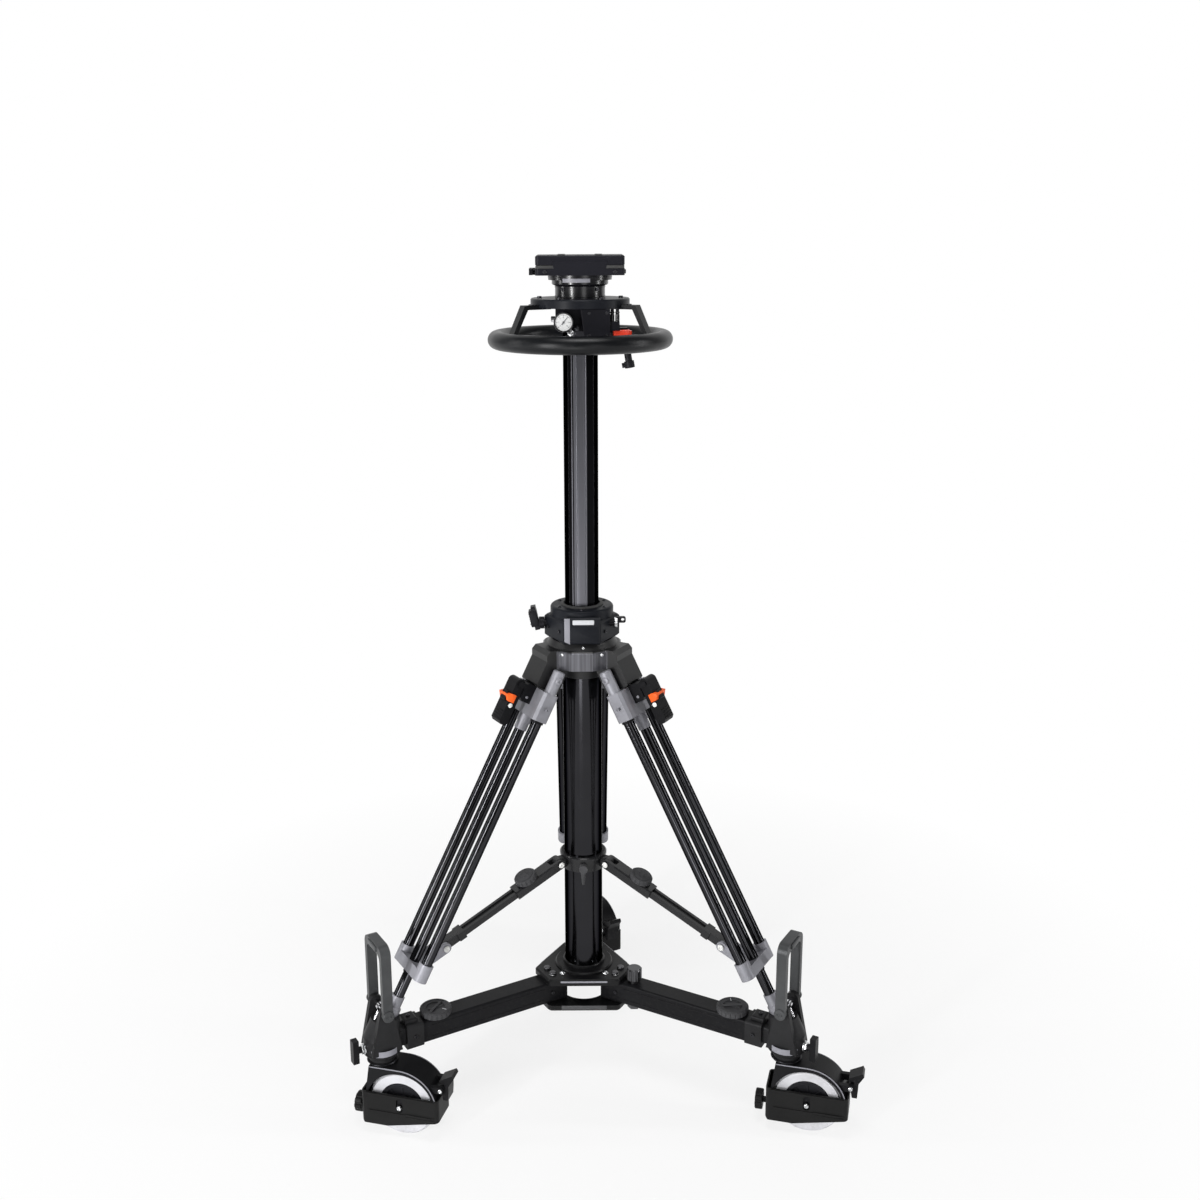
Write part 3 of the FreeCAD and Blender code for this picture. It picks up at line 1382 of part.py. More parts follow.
def make_spreader_knobs():
    """Round knobs that lock the arms' length, and the lock lever of the collar."""
    knob = fluted_knob(spreader_knob_radius, spreader_knob_height, spreader_knob_flutes,
                       spreader_knob_flute_radius, spreader_knob_height * edge_share)
    stem = upright(spreader_slot_stem_radius(), -spreader_sleeve_half_height, overrun)
    knob = moved(joined(knob, stem), spreader_knob_place, 0, spreader_sleeve_half_height)
    pieces = list(around_arms(lean_spreader(knob)).values())
    face = spreader_hub_radius + slide_gap
    boss = rod(spreader_lever_boss_radius, V(0, -face, spreader_lever_z),
               V(0, -face - spreader_lever_boss_length, spreader_lever_z))
    shaft = rod(spreader_lever_boss_radius / 2, V(0, -column_radius - curve_gap, spreader_lever_z),
                V(0, -face - overrun, spreader_lever_z))
    lever = Part.makeCone(spreader_lever_root_radius, spreader_lever_tip_radius, spreader_lever_length,
                          V(0, -face - spreader_lever_boss_length / 2, spreader_lever_z), V(0, 0, -1))
    pieces.append(joined(boss, shaft, lever))
    return group(pieces)


# Inner column and what it carries

def make_inner_column():
    tube = inner_outline(0.0, inner_bottom_z, disc_bottom_z)
    bore = inner_half_width - inner_wall
    return tube.cut(upright(bore, inner_bottom_z - overrun, disc_bottom_z + overrun))


def piston_radius():
    return column_bore_radius - piston_gap


def make_piston():
    """Piston on the foot of the inner column, with a groove for its seal."""
    low = inner_bottom_z - piston_height
    spigot = inner_half_width - inner_wall - running_gap
    middle = low + piston_height / 2
    piston = upright(piston_radius(), low, inner_bottom_z)
    ring = upright(piston_radius() + overrun, middle - seal_width / 2, middle + seal_width / 2)
    ring = ring.cut(upright(piston_radius() - seal_depth, low, inner_bottom_z))
    piston = piston.cut(ring)
    return joined(piston, upright(spigot, inner_bottom_z - overrun, inner_bottom_z + piston_spigot_height))


def make_piston_seal():
    middle = inner_bottom_z - piston_height / 2
    low = middle - seal_width / 2 + running_gap
    high = middle + seal_width / 2 - running_gap
    ring = upright(column_bore_radius - running_gap, low, high)
    return ring.cut(upright(piston_radius() - seal_depth + running_gap, low - overrun, high + overrun))


def ring_arm():
    """Flat bar bent down from the disc to the steering ring."""
    top = disc_bottom_z + ring_arm_thickness - ring_arm_drop
    low = top - ring_arm_thickness
    ring_top = ring_z + ring_tube_radius - ring_arm_bite
    meet = ring_arm_end_radius
    t = ring_arm_thickness
    points = [(ring_arm_inner_radius, low), (ring_arm_bend_radius - t * fillet_share, low),
              (meet - t / 2, ring_top - t), (meet + t / 2, ring_top - t),
              (ring_arm_bend_radius + t / 2, top), (ring_arm_inner_radius, top)]
    return side_profile(points, ring_arm_width / 2)


def make_steering_ring():
    ring = moved(Part.makeTorus(ring_radius, ring_tube_radius), 0, 0, ring_z)
    for shape in around_arms(ring_arm()).values():
        ring = ring.fuse(shape)
    return ring


def make_head_disc():
    """Disc on top of the inner column with a collar below and slots for the ring's arms."""
    disc = upright(disc_radius, disc_bottom_z, disc_top_z)
    disc = disc.makeChamfer(disc_chamfer, edges_at_height(disc, disc_top_z))
    collar_low = disc_bottom_z - disc_collar_height
    collar = upright(disc_collar_radius, collar_low, disc_bottom_z)
    collar = collar.cut(inner_outline(bolt_gap, collar_low - overrun, disc_bottom_z))
    disc = joined(disc, collar)
    for shape in around_arms(ring_arm()).values():
        disc = disc.cut(shape)
    return disc


def make_control_block():
    """Block under the disc with a tapered left edge, manifold, side block and valve rods."""
    top = disc_bottom_z
    face = front_outline([(block_left_low_x, block_bottom_z), (block_right_x, block_bottom_z),
                          (block_right_x, top), (block_left_top_x, top)], block_front_y, block_back_y)
    front_edges = [e for e in face.Edges if e.BoundBox.YMax < block_front_y + running_gap]
    face = face.makeFillet(block_edge_fillet, front_edges)
    manifold = box(manifold_left_x, block_right_x, manifold_front_y, block_back_y,
                   manifold_bottom_z, top)
    side_x = block_right_x + side_block_width
    side = box(block_right_x - overrun, side_x, side_block_front_y, side_block_front_y + side_block_depth,
               side_block_bottom_z, side_block_bottom_z + side_block_height)
    block = joined(face, manifold, side)
    first_x = block_right_x + side_block_width / 2 - (valve_rods - 1) * valve_rod_spacing / 2
    for k in range(valve_rods):
        x = first_x + k * valve_rod_spacing
        y = side_block_front_y + side_block_depth / 2
        block = joined(block, upright(valve_rod_radius, side_block_bottom_z + overrun, top, x, y))
    inflation = rod(inflation_radius + running_gap,
                    V(inflation_x + inflation_length, inflation_y, inflation_z),
                    V(inflation_x - overrun, inflation_y, inflation_z))
    bleed = rod(bleed_radius + running_gap, V(bleed_x, block_back_y - overrun, bleed_z),
                V(bleed_x, manifold_front_y - overrun, bleed_z))
    pin_x, pin_y = release_pivot()
    pin_hole = upright(release_pin_radius + running_gap, side_block_bottom_z - overrun,
                       side_block_bottom_z + side_block_height / 2 + overrun, pin_x, pin_y)
    return block.cut([inflation, bleed, pin_hole])


def release_pivot():
    return block_right_x + release_depth, side_block_front_y + side_block_depth / 2


def front_outline(points, y_start, y_end):
    """Outline in the X-Z plane between two places along Y."""
    corners = [V(x, y_start, z) for x, z in points]
    face = Part.Face(Part.makePolygon(corners + corners[:1]))
    return face.extrude(V(0, y_end - y_start, 0))


def make_gauge():
    """Round case with a rim and a sunk dial, turned a little to the left."""
    case = spun([(0, 0), (gauge_radius - gauge_rim, 0), (gauge_radius, gauge_rim),
                 (gauge_radius, gauge_depth), (gauge_radius - gauge_rim, gauge_depth),
                 (gauge_radius - gauge_rim, gauge_depth - gauge_dial_sink),
                 (0, gauge_depth - gauge_dial_sink)])
    case = turned(case, 90, V(1, 0, 0))
    stem = rod(gauge_stem_radius, V(0, 0, 0), V(0, gauge_depth, 0))
    case = turned(case, -gauge_turn_angle)
    place = V(gauge_x, gauge_front_y + gauge_depth, gauge_z)
    case.translate(place)
    stem.translate(place)
    gap = rod(gauge_radius * 2, V(gauge_x, manifold_front_y, gauge_z),
              V(gauge_x, block_back_y + gauge_depth, gauge_z))
    return joined(case, stem).cut(gap)


def make_inflation_knob():
    shaft = rod(inflation_radius, V(inflation_x + inflation_length - overrun, inflation_y, inflation_z),
                V(inflation_x - inflation_cap_length / 2, inflation_y, inflation_z))
    cap = fluted_knob(inflation_cap_radius, inflation_cap_length, inflation_cap_flutes,
                      inflation_cap_flute_radius, inflation_cap_chamfer)
    cap = moved(turned(cap, -90, V(0, 1, 0)), inflation_x - slide_gap, inflation_y, inflation_z)
    return joined(shaft, cap)


def make_bleed_button():
    shaft = rod(bleed_radius, V(bleed_x, manifold_front_y + bleed_length, bleed_z),
                V(bleed_x, manifold_front_y - bleed_length / 2, bleed_z))
    start = manifold_front_y - bleed_length / 2
    head = rod(bleed_head_radius, V(bleed_x, start, bleed_z),
               V(bleed_x, start - bleed_head_length, bleed_z))
    head = head.makeFillet(bleed_head_length * fillet_share, [e for e in head.Edges
                           if e.BoundBox.YMax < start - bleed_head_length / 2])
    return joined(shaft, head)


def make_release_lever():
    """Lever that swings under the side block."""
    low = side_block_bottom_z - release_gap - release_height
    pivot_x, pivot_y = release_pivot()
    lever = box(pivot_x - release_depth / 2, pivot_x + release_length - release_depth / 2,
                pivot_y - release_depth / 2, pivot_y + release_depth / 2, low, low + release_height)
    lever = lever.makeFillet(release_height * quarter_share, along_edges(lever, V(0, 0, 1)))
    pin = upright(release_pin_radius, low + release_height - overrun,
                  side_block_bottom_z + side_block_height / 2, pivot_x, pivot_y)
    return joined(lever, pin)


def make_connector():
    """Air connector that hangs from the control block on a short bracket."""
    pipe = rod(connector_radius, V(0, 0, 0), V(0, 0, -connector_length))
    collar = rod(connector_collar_radius, V(0, 0, -connector_length + connector_collar_length),
                 V(0, 0, -connector_length))
    hook = rod(connector_hook_radius, V(0, 0, -connector_length + connector_collar_length / 2),
               V(-connector_hook_length, 0, -connector_length + connector_collar_length / 2))
    pipe = turned(joined(pipe, collar, hook), -connector_lean_angle, V(0, 1, 0))
    pipe = moved(pipe, connector_x, connector_y, connector_top_z + overrun)
    half = connector_bracket_half_width
    bracket = box(block_right_x, connector_x + half, connector_y - half, connector_y + half,
                  connector_top_z, connector_top_z + connector_bracket_height)
    return joined(bracket, pipe)


# Neck, plates and the plate's lock

def make_neck():
    """Stepped adapter between the disc and the plate base."""
    neck = spun([(0, disc_top_z), (neck_radius, disc_top_z), (neck_radius, neck_step_z),
                 (neck_step_radius, neck_step_z), (neck_step_radius, neck_flange_z),
                 (neck_flange_radius, neck_flange_z), (neck_flange_radius, neck_top_z),
                 (0, neck_top_z)])
    return neck.makeChamfer(neck_chamfer, edges_at_height(neck, neck_step_z))


def dovetail(growth, low, high):
    """Rail along Y that is wider at the top."""
    top = dovetail_half_width + growth
    foot = top - dovetail_flare
    return front_outline([(-foot, low), (foot, low), (top, high), (-top, high)],
                         -plate_half_length, plate_half_length)


def rounded_plate(low, thickness):
    plate = box(-plate_half_width, plate_half_width, -plate_half_length, plate_half_length,
                low, low + thickness)
    return plate.makeFillet(plate_corner_radius, along_edges(plate, V(0, 0, 1)))


def make_plate_base():
    base = rounded_plate(plate_base_bottom_z, plate_base_thickness)
    top = plate_base_bottom_z + plate_base_thickness
    rail = dovetail(0.0, top - dovetail_root, top + dovetail_height)
    hole = rod(plate_lock_shaft_radius + running_gap, V(-2 * plate_half_width, 0, plate_lock_z),
               V(-plate_half_width + plate_lock_shaft_length + overrun, 0, plate_lock_z))
    return joined(base, rail).cut(hole)


def make_camera_plate():
    """Sliding plate with its dovetail channel, centre hole and four bolt holes."""
    plate = rounded_plate(camera_plate_bottom_z, camera_plate_thickness)
    plate = plate.makeChamfer(camera_plate_chamfer, edges_at_height(plate, camera_plate_top_z))
    top = plate_base_bottom_z + plate_base_thickness
    channel = dovetail(slide_gap, top - dovetail_root, top + dovetail_height + slide_gap)
    plate = plate.cut(channel)
    low = camera_plate_bottom_z - overrun
    high = camera_plate_top_z + overrun
    holes = [upright(camera_hole_radius, low, high)]
    for x_sign in (-1, 1):
        for y_sign in (-1, 1):
            holes.append(upright(camera_bolt_radius, low, high, x_sign * camera_bolt_spacing_x / 2,
                                 y_sign * camera_bolt_spacing_y / 2))
    return plate.cut(holes)


def make_plate_lock():
    """Lever on the left of the plate base that clamps the dovetail."""
    face = -plate_half_width - slide_gap
    shaft = rod(plate_lock_shaft_radius, V(face - plate_lock_length, 0, plate_lock_z),
                V(-plate_half_width + plate_lock_shaft_length, 0, plate_lock_z))
    boss = rod(plate_lock_radius, V(face, 0, plate_lock_z), V(face - plate_lock_length, 0, plate_lock_z))
    half = plate_lock_handle_width / 2
    handle = box(face - plate_lock_length, face - plate_lock_length + plate_lock_handle_thickness,
                 -plate_lock_handle_length, half, plate_lock_z - half, plate_lock_z + half)
    handle = handle.makeFillet(half / 2, along_edges(handle, V(1, 0, 0)))
    return joined(shaft, boss, handle)


# Everything by name

def all_pieces():
    pieces = {
        "hub_top_plate": make_hub_top_plate(),
        "hub_bottom_plate": make_hub_bottom_plate(),
        "hub_bolts": make_hub_bolts(),
        "dolly_arms": make_arms(),
        "foot_clamps": make_foot_clamps(),
        "clamp_screws": make_clamp_screws(),
        "pivot_pins": make_pivot_pins(),
        "outer_column": make_outer_column(),
        "crown": make_crown(),
        "head_block": make_head_block(),
        "head_cap": make_head_cap(),
        "guide_bush": make_guide_bush(),
        "leg_top_castings": group(legs_of(make_leg_casting).values()),
        "leg_tubes": group(legs_of(make_leg_tubes).values()),
        "leg_brackets": group(legs_of(make_leg_bracket).values()),
        "leg_lock_housings": group(legs_of(make_lock_housing).values()),
        "leg_feet": group(legs_of(make_leg_foot).values()),
        "spreader_hub": make_spreader_hub(),
        "spreader_arms": group(around_arms(lean_spreader(make_spreader_arm())).values()),
        "spreader_screws": make_spreader_knobs(),
        "inner_column": make_inner_column(),
        "piston": make_piston(),
        "piston_seal": make_piston_seal(),
        "head_disc": make_head_disc(),
        "steering_ring": make_steering_ring(),
        "control_block": joined(make_control_block(), make_bleed_button()),
        "pressure_gauge": make_gauge(),
        "neck_adapter": make_neck(),
        "plate_base": make_plate_base(),
        "air_connector": make_connector(),
        "camera_plate": make_camera_plate(),
        "plate_lock_lever": make_plate_lock(),
        "release_lever": make_release_lever(),
        "inflation_knob": make_inflation_knob(),
        "column_brake_lever": make_column_brake(),
        "column_cam_lever": make_cam_lever(),
    }
    repeated = {
        "leg_lock_lever": legs_of(make_leg_lever),
        "clamp_loop": make_clamp_loops(),
        "arm_knob": make_arm_knobs(),
        "caster_hood": place_casters(make_caster_hood),
        "wheel_core": place_casters(make_wheel_core),
        "tread": place_casters(make_tread),
        "brake_lever": place_casters(make_brake_lever),
        "cable_guard": place_casters(make_cable_guard),
    }
    for name, copies in repeated.items():
        for arm, shape in copies.items():
            pieces[name + "_" + arm] = shape
    return pieces


def write_all():
    """Move the whole over its origin and write one file per piece."""
    os.makedirs("parts", exist_ok=True)
    pieces = all_pieces()
    limits = group(pieces.values()).optimalBoundingBox(False)
    shift = V(-limits.Center.x, -limits.Center.y, 0)
    print("shift", shift.x, shift.y)
    for name, shape in pieces.items():
        shape.translate(shift)
        shape.exportStep("parts/" + name + ".step")


write_all()
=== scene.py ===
import bpy, bmesh
from math import sin, cos, pi, radians, atan2, hypot
from mathutils import Vector, Matrix
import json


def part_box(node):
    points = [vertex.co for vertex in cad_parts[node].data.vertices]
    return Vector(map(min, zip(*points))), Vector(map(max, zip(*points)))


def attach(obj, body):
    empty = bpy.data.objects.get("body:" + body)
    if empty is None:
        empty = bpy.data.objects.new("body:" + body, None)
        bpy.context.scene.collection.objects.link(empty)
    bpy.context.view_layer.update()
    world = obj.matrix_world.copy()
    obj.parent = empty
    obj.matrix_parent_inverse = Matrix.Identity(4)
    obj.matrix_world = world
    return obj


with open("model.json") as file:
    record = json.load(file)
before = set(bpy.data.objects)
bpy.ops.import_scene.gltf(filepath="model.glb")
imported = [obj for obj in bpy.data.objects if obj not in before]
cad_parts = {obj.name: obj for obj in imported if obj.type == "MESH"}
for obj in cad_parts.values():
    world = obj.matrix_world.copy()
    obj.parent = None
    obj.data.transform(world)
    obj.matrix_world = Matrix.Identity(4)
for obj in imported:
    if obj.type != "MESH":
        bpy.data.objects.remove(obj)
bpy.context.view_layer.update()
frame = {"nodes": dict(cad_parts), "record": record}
print("frame loaded")


# Where the CAD puts things. Places are given in millimetres, from the column's axis and the floor

mm = 0.001
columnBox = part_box("outer_column")
axisX = (columnBox[0][0] + columnBox[1][0]) / 2
axisY = (columnBox[0][1] + columnBox[1][1]) / 2
armAngles = {"left": 210, "right": 330, "rear": 90}
trailAngles = {"left": -15, "right": -15, "rear": -60}
casterCircle = 343
legHinge = {"radius": 57, "height": 670, "lean": 29}


def shifted(x=0.0, y=0.0, z=0.0):
    return Matrix.Translation((x * mm, y * mm, z * mm))


def turnedBy(degrees, axis="Z"):
    return Matrix.Rotation(radians(degrees), 4, axis)


def aboutAxis(x=0.0, y=0.0, z=0.0):
    return Matrix.Translation((axisX + x * mm, axisY + y * mm, z * mm))


def alongArm(arm, radius=0.0, z=0.0):
    # frame with +X outwards along one dolly arm
    return aboutAxis(0, 0, z) @ turnedBy(armAngles[arm]) @ shifted(radius)


def onLeg(arm):
    # frame of a hanging leg: +X outwards, -Z down the leg, origin at its hinge
    return alongArm(arm, legHinge["radius"], legHinge["height"]) @ turnedBy(-legHinge["lean"], "Y")


def onCaster(arm):
    # frame of a caster: +X along the trail, origin on the floor under the swivel
    angle = radians(armAngles[arm])
    return aboutAxis(casterCircle * cos(angle), casterCircle * sin(angle)) @ turnedBy(trailAngles[arm])


def onSides(place, x, reach, z):
    # a place on each side of a frame, with +Z outwards
    return [place @ shifted(x, side * reach, z) @ turnedBy(-90 * side, "X") for side in (-1, 1)]


def facingOut(azimuths, reach, z, apart=(0,)):
    # places round the axis, with +Z outwards
    return [aboutAxis(0, 0, z) @ turnedBy(azimuth) @ shifted(reach, t) @ turnedBy(90, "Y")
            for azimuth in azimuths for t in apart]


def onCircle(count, reach, z, start=0):
    angles = [radians(start + 360 * k / count) for k in range(count)]
    return [aboutAxis(reach * cos(a), reach * sin(a), z) for a in angles]


# Shader maths

class Wire:
    def __init__(self, sheet, socket):
        self.sheet, self.socket = sheet, socket

    def math(self, operation, a, b):
        return self.sheet.add("ShaderNodeMath", {"operation": operation}, {0: a, 1: b})

    def __add__(self, other): return self.math("ADD", self, other)
    def __radd__(self, other): return self.math("ADD", other, self)
    def __sub__(self, other): return self.math("SUBTRACT", self, other)
    def __rsub__(self, other): return self.math("SUBTRACT", other, self)
    def __mul__(self, other): return self.math("MULTIPLY", self, other)


class Sheet:
    # one material, built node by node
    def __init__(self, name):
        self.material = bpy.data.materials.new(name)
        self.material.use_nodes = True
        self.tree = self.material.node_tree
        self.shader = self.tree.nodes["Principled BSDF"]
        self.place = self.add("ShaderNodeTexCoord", output="Object")

    def add(self, kind, settings=None, inputs=None, output=0):
        node = self.tree.nodes.new(kind)
        for key, value in (settings or {}).items():
            setattr(node, key, value)
        for key, value in (inputs or {}).items():
            self.feed(node.inputs[key], value)
        return Wire(self, node.outputs[output])

    def feed(self, socket, value):
        if isinstance(value, Wire):
            self.tree.links.new(value.socket, socket)
        else:
            socket.default_value = value

    def set(self, **values):
        # feeds the shader's own sockets and hands back the material
        for key, value in values.items():
            self.feed(self.shader.inputs[key.replace("_", " ")], value)
        return self.material

    def mapped(self, scale=(1, 1, 1), shift=(0, 0, 0)):
        return self.add("ShaderNodeMapping", None, {"Vector": self.place, "Scale": scale, "Location": shift})

    def noise(self, scale, detail=2.0, rough=0.5, stretch=None):
        vector = self.mapped(stretch) if stretch else self.place
        return self.add("ShaderNodeTexNoise", None,
                        {"Vector": vector, "Scale": scale, "Detail": detail, "Roughness": rough})

    def cells(self, scale):
        return self.add("ShaderNodeTexVoronoi", None, {"Vector": self.place, "Scale": scale})

    def within(self, value, low, high, start=0.0, end=1.0):
        return self.add("ShaderNodeMapRange", {"clamp": True}, {0: value, 1: low, 2: high, 3: start, 4: end})

    def blend(self, factor, first, second):
        return self.add("ShaderNodeMix", {"data_type": "RGBA"}, {"Factor": factor, 6: first, 7: second}, 2)

    def clouded(self, cloud, low, high, darker, lighter):
        # a tone that drifts between two others
        return self.blend(self.within(cloud, low, high), darker, lighter)

    def height(self):
        return self.add("ShaderNodeSeparateXYZ", None, {0: self.place}, 2)

    def across(self, x, y):
        # distance to the right of an upright line
        return self.add("ShaderNodeSeparateXYZ", None, {0: self.mapped(shift=(-x, -y, 0))}, 0)

    def fromLine(self, x, y):
        # distance from an upright line
        flat = self.add("ShaderNodeVectorMath", {"operation": "MULTIPLY"},
                        {0: self.mapped(shift=(-x, -y, 0)), 1: (1, 1, 0)})
        return self.add("ShaderNodeVectorMath", {"operation": "LENGTH"}, {0: flat}, 1)

    def stripe(self, value, low, high, soft):
        # one between two limits, with soft edges inside them
        return self.within(value, low, low + soft) * self.within(value, high - soft, high, 1.0, 0.0)

    def bump(self, value, strength, distance):
        return self.add("ShaderNodeBump", None, {"Height": value, "Strength": strength, "Distance": distance})


def shade(colour, factor):
    return tuple(min(1.0, c * factor) for c in colour[:3]) + (1.0,)


# Finishes. Each one takes the colour and the settings of one slot

dustColour = (0.30, 0.285, 0.26, 1)
dirtColour = (0.22, 0.21, 0.20, 1)


def powderCoat(name, colour, rough=0.42, grain=1500, depth=0.00004, dust=0.08, spec=0.1):
    # baked powder paint: fine orange peel, slight handling marks, dust near the floor
    sheet = Sheet(name)
    cloud = sheet.noise(9, 4, 0.6)
    smear = sheet.noise(42, 3, 0.55, (1, 1, 0.35))
    peel = sheet.noise(grain, 1, 0.5)
    fine = sheet.noise(grain * 2.6, 0)
    base = sheet.clouded(cloud, 0.35, 0.7, shade(colour, 0.86), shade(colour, 1.2))
    low = sheet.within(sheet.height(), 0.02, 0.22, dust, 0)
    speck = sheet.within(sheet.noise(260, 5, 0.7), 0.52, 0.72) * low
    return sheet.set(Base_Color=sheet.blend(speck, base, dustColour), Specular_IOR_Level=spec,
                     Roughness=rough + (smear - 0.5) * 0.22 + (cloud - 0.5) * 0.1 + speck * 0.2,
                     Normal=sheet.bump(peel * 0.7 + fine * 0.3, 0.55, depth))


def anodised(name, colour, rough=0.3, lines=(700, 700, 700), metal=0, spec=0.1, rim=1, drawnDepth=0.35):
    # anodised tube or plate: drawn lines, soft cloudiness and a few rubbed marks
    sheet = Sheet(name)
    drawn = sheet.noise(1, 3, 0.6, lines)
    cloud = sheet.noise(7, 3, 0.6)
    marks = sheet.within(sheet.noise(120, 6, 0.75, (1, 1, 0.15)), 0.6, 0.75)
    base = sheet.clouded(cloud, 0.3, 0.7, shade(colour, 0.88), shade(colour, 1.15))
    return sheet.set(Base_Color=sheet.blend(marks * 0.18, base, shade(colour, 2.2)), Metallic=metal,
                     Specular_IOR_Level=spec, Specular_Tint=(rim, rim, rim, 1),
                     Roughness=rough + (drawn - 0.5) * 0.14 + (cloud - 0.5) * 0.08 + marks * 0.06,
                     Normal=sheet.bump(drawn, drawnDepth, 0.00002))


def paintedLightColumn(name, colour, rough=0.24, rim=0.03, left=-0.0108, right=0.0086, soft=0.0006, line=-0.0128,
               lineHalf=0.0008, lineSoft=0.0004):
    # extruded column: a painted light band down its middle as the camera sees it, painted shade on both sides, and a
    # painted highlight line left of the band
    sheet = Sheet(name)
    drawn = sheet.noise(1, 3, 0.6, (900, 900, 10))
    broad = sheet.noise(1, 2, 0.5, (140, 140, 1.2))
    cloud = sheet.noise(7, 3, 0.6)
    side = sheet.across(axisX, axisY)
    # painted light: the band is set by distance across the view, not by the column's facets
    flat = sheet.stripe(side, left, right, soft)
    # painted highlight: a thin pale line left of the band
    edge = sheet.stripe(side, line - lineHalf, line + lineHalf, lineSoft)
    paintedLitTone = sheet.clouded(broad, 0.4, 0.7, shade(colour, 0.8), shade(colour, 1.5))
    # outside the band the colour drops to painted shade
    base = sheet.blend(flat, shade(colour, 0.07), paintedLitTone)
    return sheet.set(Base_Color=sheet.blend(edge, base, shade(colour, 2.2)), Metallic=1,
                     Specular_Tint=(rim, rim, rim, 1),
                     Roughness=rough + (drawn - 0.5) * 0.14 + (cloud - 0.5) * 0.08 + flat * 0.08,
                     Normal=sheet.bump(drawn, 0.3, 0.00002))


def casting(name, colour, rough=0.5, grain=520, depth=0.00012, metal=0.25, spec=0.1):
    # die casting under thin paint: sandy skin with shallow flow marks
    sheet = Sheet(name)
    sand = sheet.noise(grain, 6, 0.65)
    flow = sheet.noise(26, 3, 0.5)
    pores = sheet.within(sheet.cells(grain * 0.5), 0, 0.22, 1, 0)
    base = sheet.clouded(flow, 0.3, 0.7, shade(colour, 0.85), shade(colour, 1.15))
    return sheet.set(Base_Color=sheet.blend(pores * 0.25, base, shade(colour, 0.55)), Metallic=metal,
                     Specular_IOR_Level=spec, Roughness=rough + (sand - 0.5) * 0.25 + (flow - 0.5) * 0.08,
                     Normal=sheet.bump(sand - pores * 0.3, 0.6, depth))


def crownCasting(name, colour, facet=(0.10, 0.10, 0.112, 1), rough=0.42, top=0.6976, bottom=0.6700,
                 radius=0.0614, soft=0.0004):
    # painted casting with bare brushed flats below its shoulder
    sheet = Sheet(name)
    sand = sheet.noise(520, 6, 0.65)
    flow = sheet.noise(26, 3, 0.5)
    brushed = sheet.noise(1, 3, 0.6, (1100, 1100, 30))
    bands = sheet.noise(1, 2, 0.5, (160, 160, 3))
    bare = sheet.stripe(sheet.height(), bottom, top, soft)
    bare = bare * sheet.within(sheet.fromLine(axisX, axisY), radius - 0.0006, radius, 1, 0)
    paint = sheet.clouded(flow, 0.3, 0.7, shade(colour, 0.85), shade(colour, 1.15))
    metal = sheet.clouded(bands, 0.35, 0.7, shade(facet, 0.55), shade(facet, 1.5))
    return sheet.set(Base_Color=sheet.blend(bare, paint, metal), Metallic=0.25 + bare * 0.35,
                     Roughness=rough + (sand - 0.5) * 0.2 + (brushed - 0.5) * bare * 0.2,
                     Normal=sheet.bump(sand * (1.0 - bare) + brushed * bare * 0.4, 0.6, 0.00010))


def moulded(name, colour, rough=0.5, grain=1100, depth=0.00005, spec=0.1):
    # moulded plastic: spark-eroded grain, faint sheen changes
    sheet = Sheet(name)
    skin = sheet.cells(grain)
    fine = sheet.noise(grain * 1.7, 2, 0.6)
    cloud = sheet.noise(16, 3, 0.6)
    scuff = sheet.within(sheet.noise(70, 6, 0.8, (1, 0.4, 1)), 0.6, 0.74)
    base = sheet.clouded(cloud, 0.3, 0.7, shade(colour, 0.85), shade(colour, 1.2))
    return sheet.set(Base_Color=sheet.blend(scuff * 0.12, base, shade(colour, 2.6)), Specular_IOR_Level=spec,
                     Roughness=rough + (cloud - 0.5) * 0.14 + (fine - 0.5) * 0.1 - scuff * 0.08,
                     Normal=sheet.bump(skin * 0.6 + fine * 0.4, 0.5, depth))


def brightMetal(name, colour, rough=0.18, scale=(600, 600, 40)):
    # turned or plated steel: fine lathe lines and a little tarnish
    sheet = Sheet(name)
    lathe = sheet.noise(1, 2, 0.6, scale)
    stain = sheet.within(sheet.noise(90, 4, 0.6), 0.45, 0.75)
    return sheet.set(Base_Color=sheet.blend(stain * 0.4, colour, shade(colour, 0.7)), Metallic=1,
                     Roughness=rough + (lathe - 0.5) * 0.12 + stain * 0.12, Normal=sheet.bump(lathe, 0.25, 0.00001))


def rubbery(name, colour, rough=0.72, grain=900, depth=0.00008, dust=0.3):
    # cast rubber: matt, finely pitted, dusty where it rolls
    sheet = Sheet(name)
    pits = sheet.noise(grain, 5, 0.7)
    cloud = sheet.noise(30, 4, 0.65)
    base = sheet.clouded(cloud, 0.3, 0.75, shade(colour, 0.82), shade(colour, 1.06))
    low = sheet.within(sheet.height(), 0, 0.1, dust, 0.05)
    dirt = sheet.within(sheet.noise(210, 6, 0.75), 0.5, 0.7) * low
    return sheet.set(Base_Color=sheet.blend(dirt, base, dirtColour), Roughness=rough + (pits - 0.5) * 0.2,
                     Normal=sheet.bump(pits, 0.5, depth))


def plainEnamel(name, colour, rough=0.35):
    # even enamel on small pieces
    sheet = Sheet(name)
    cloud = sheet.noise(300, 2, 0.5)
    return sheet.set(Base_Color=sheet.clouded(cloud, 0.3, 0.7, shade(colour, 0.95), colour),
                     Roughness=rough + (cloud - 0.5) * 0.1, Normal=sheet.bump(sheet.noise(2400, 1), 0.2, 0.00002))


def clearLens(name, colour=(0.95, 0.97, 1, 1), alpha=0.12):
    sheet = Sheet(name)
    haze = sheet.noise(160, 3, 0.6)
    return sheet.set(Base_Color=colour, Roughness=sheet.within(haze, 0.4, 0.8, 0.02, 0.1), Alpha=alpha)


slotColours = {s["slot"]: tuple(s["base_color"][:3]) + (1,) for s in frame["record"]["materials"]}

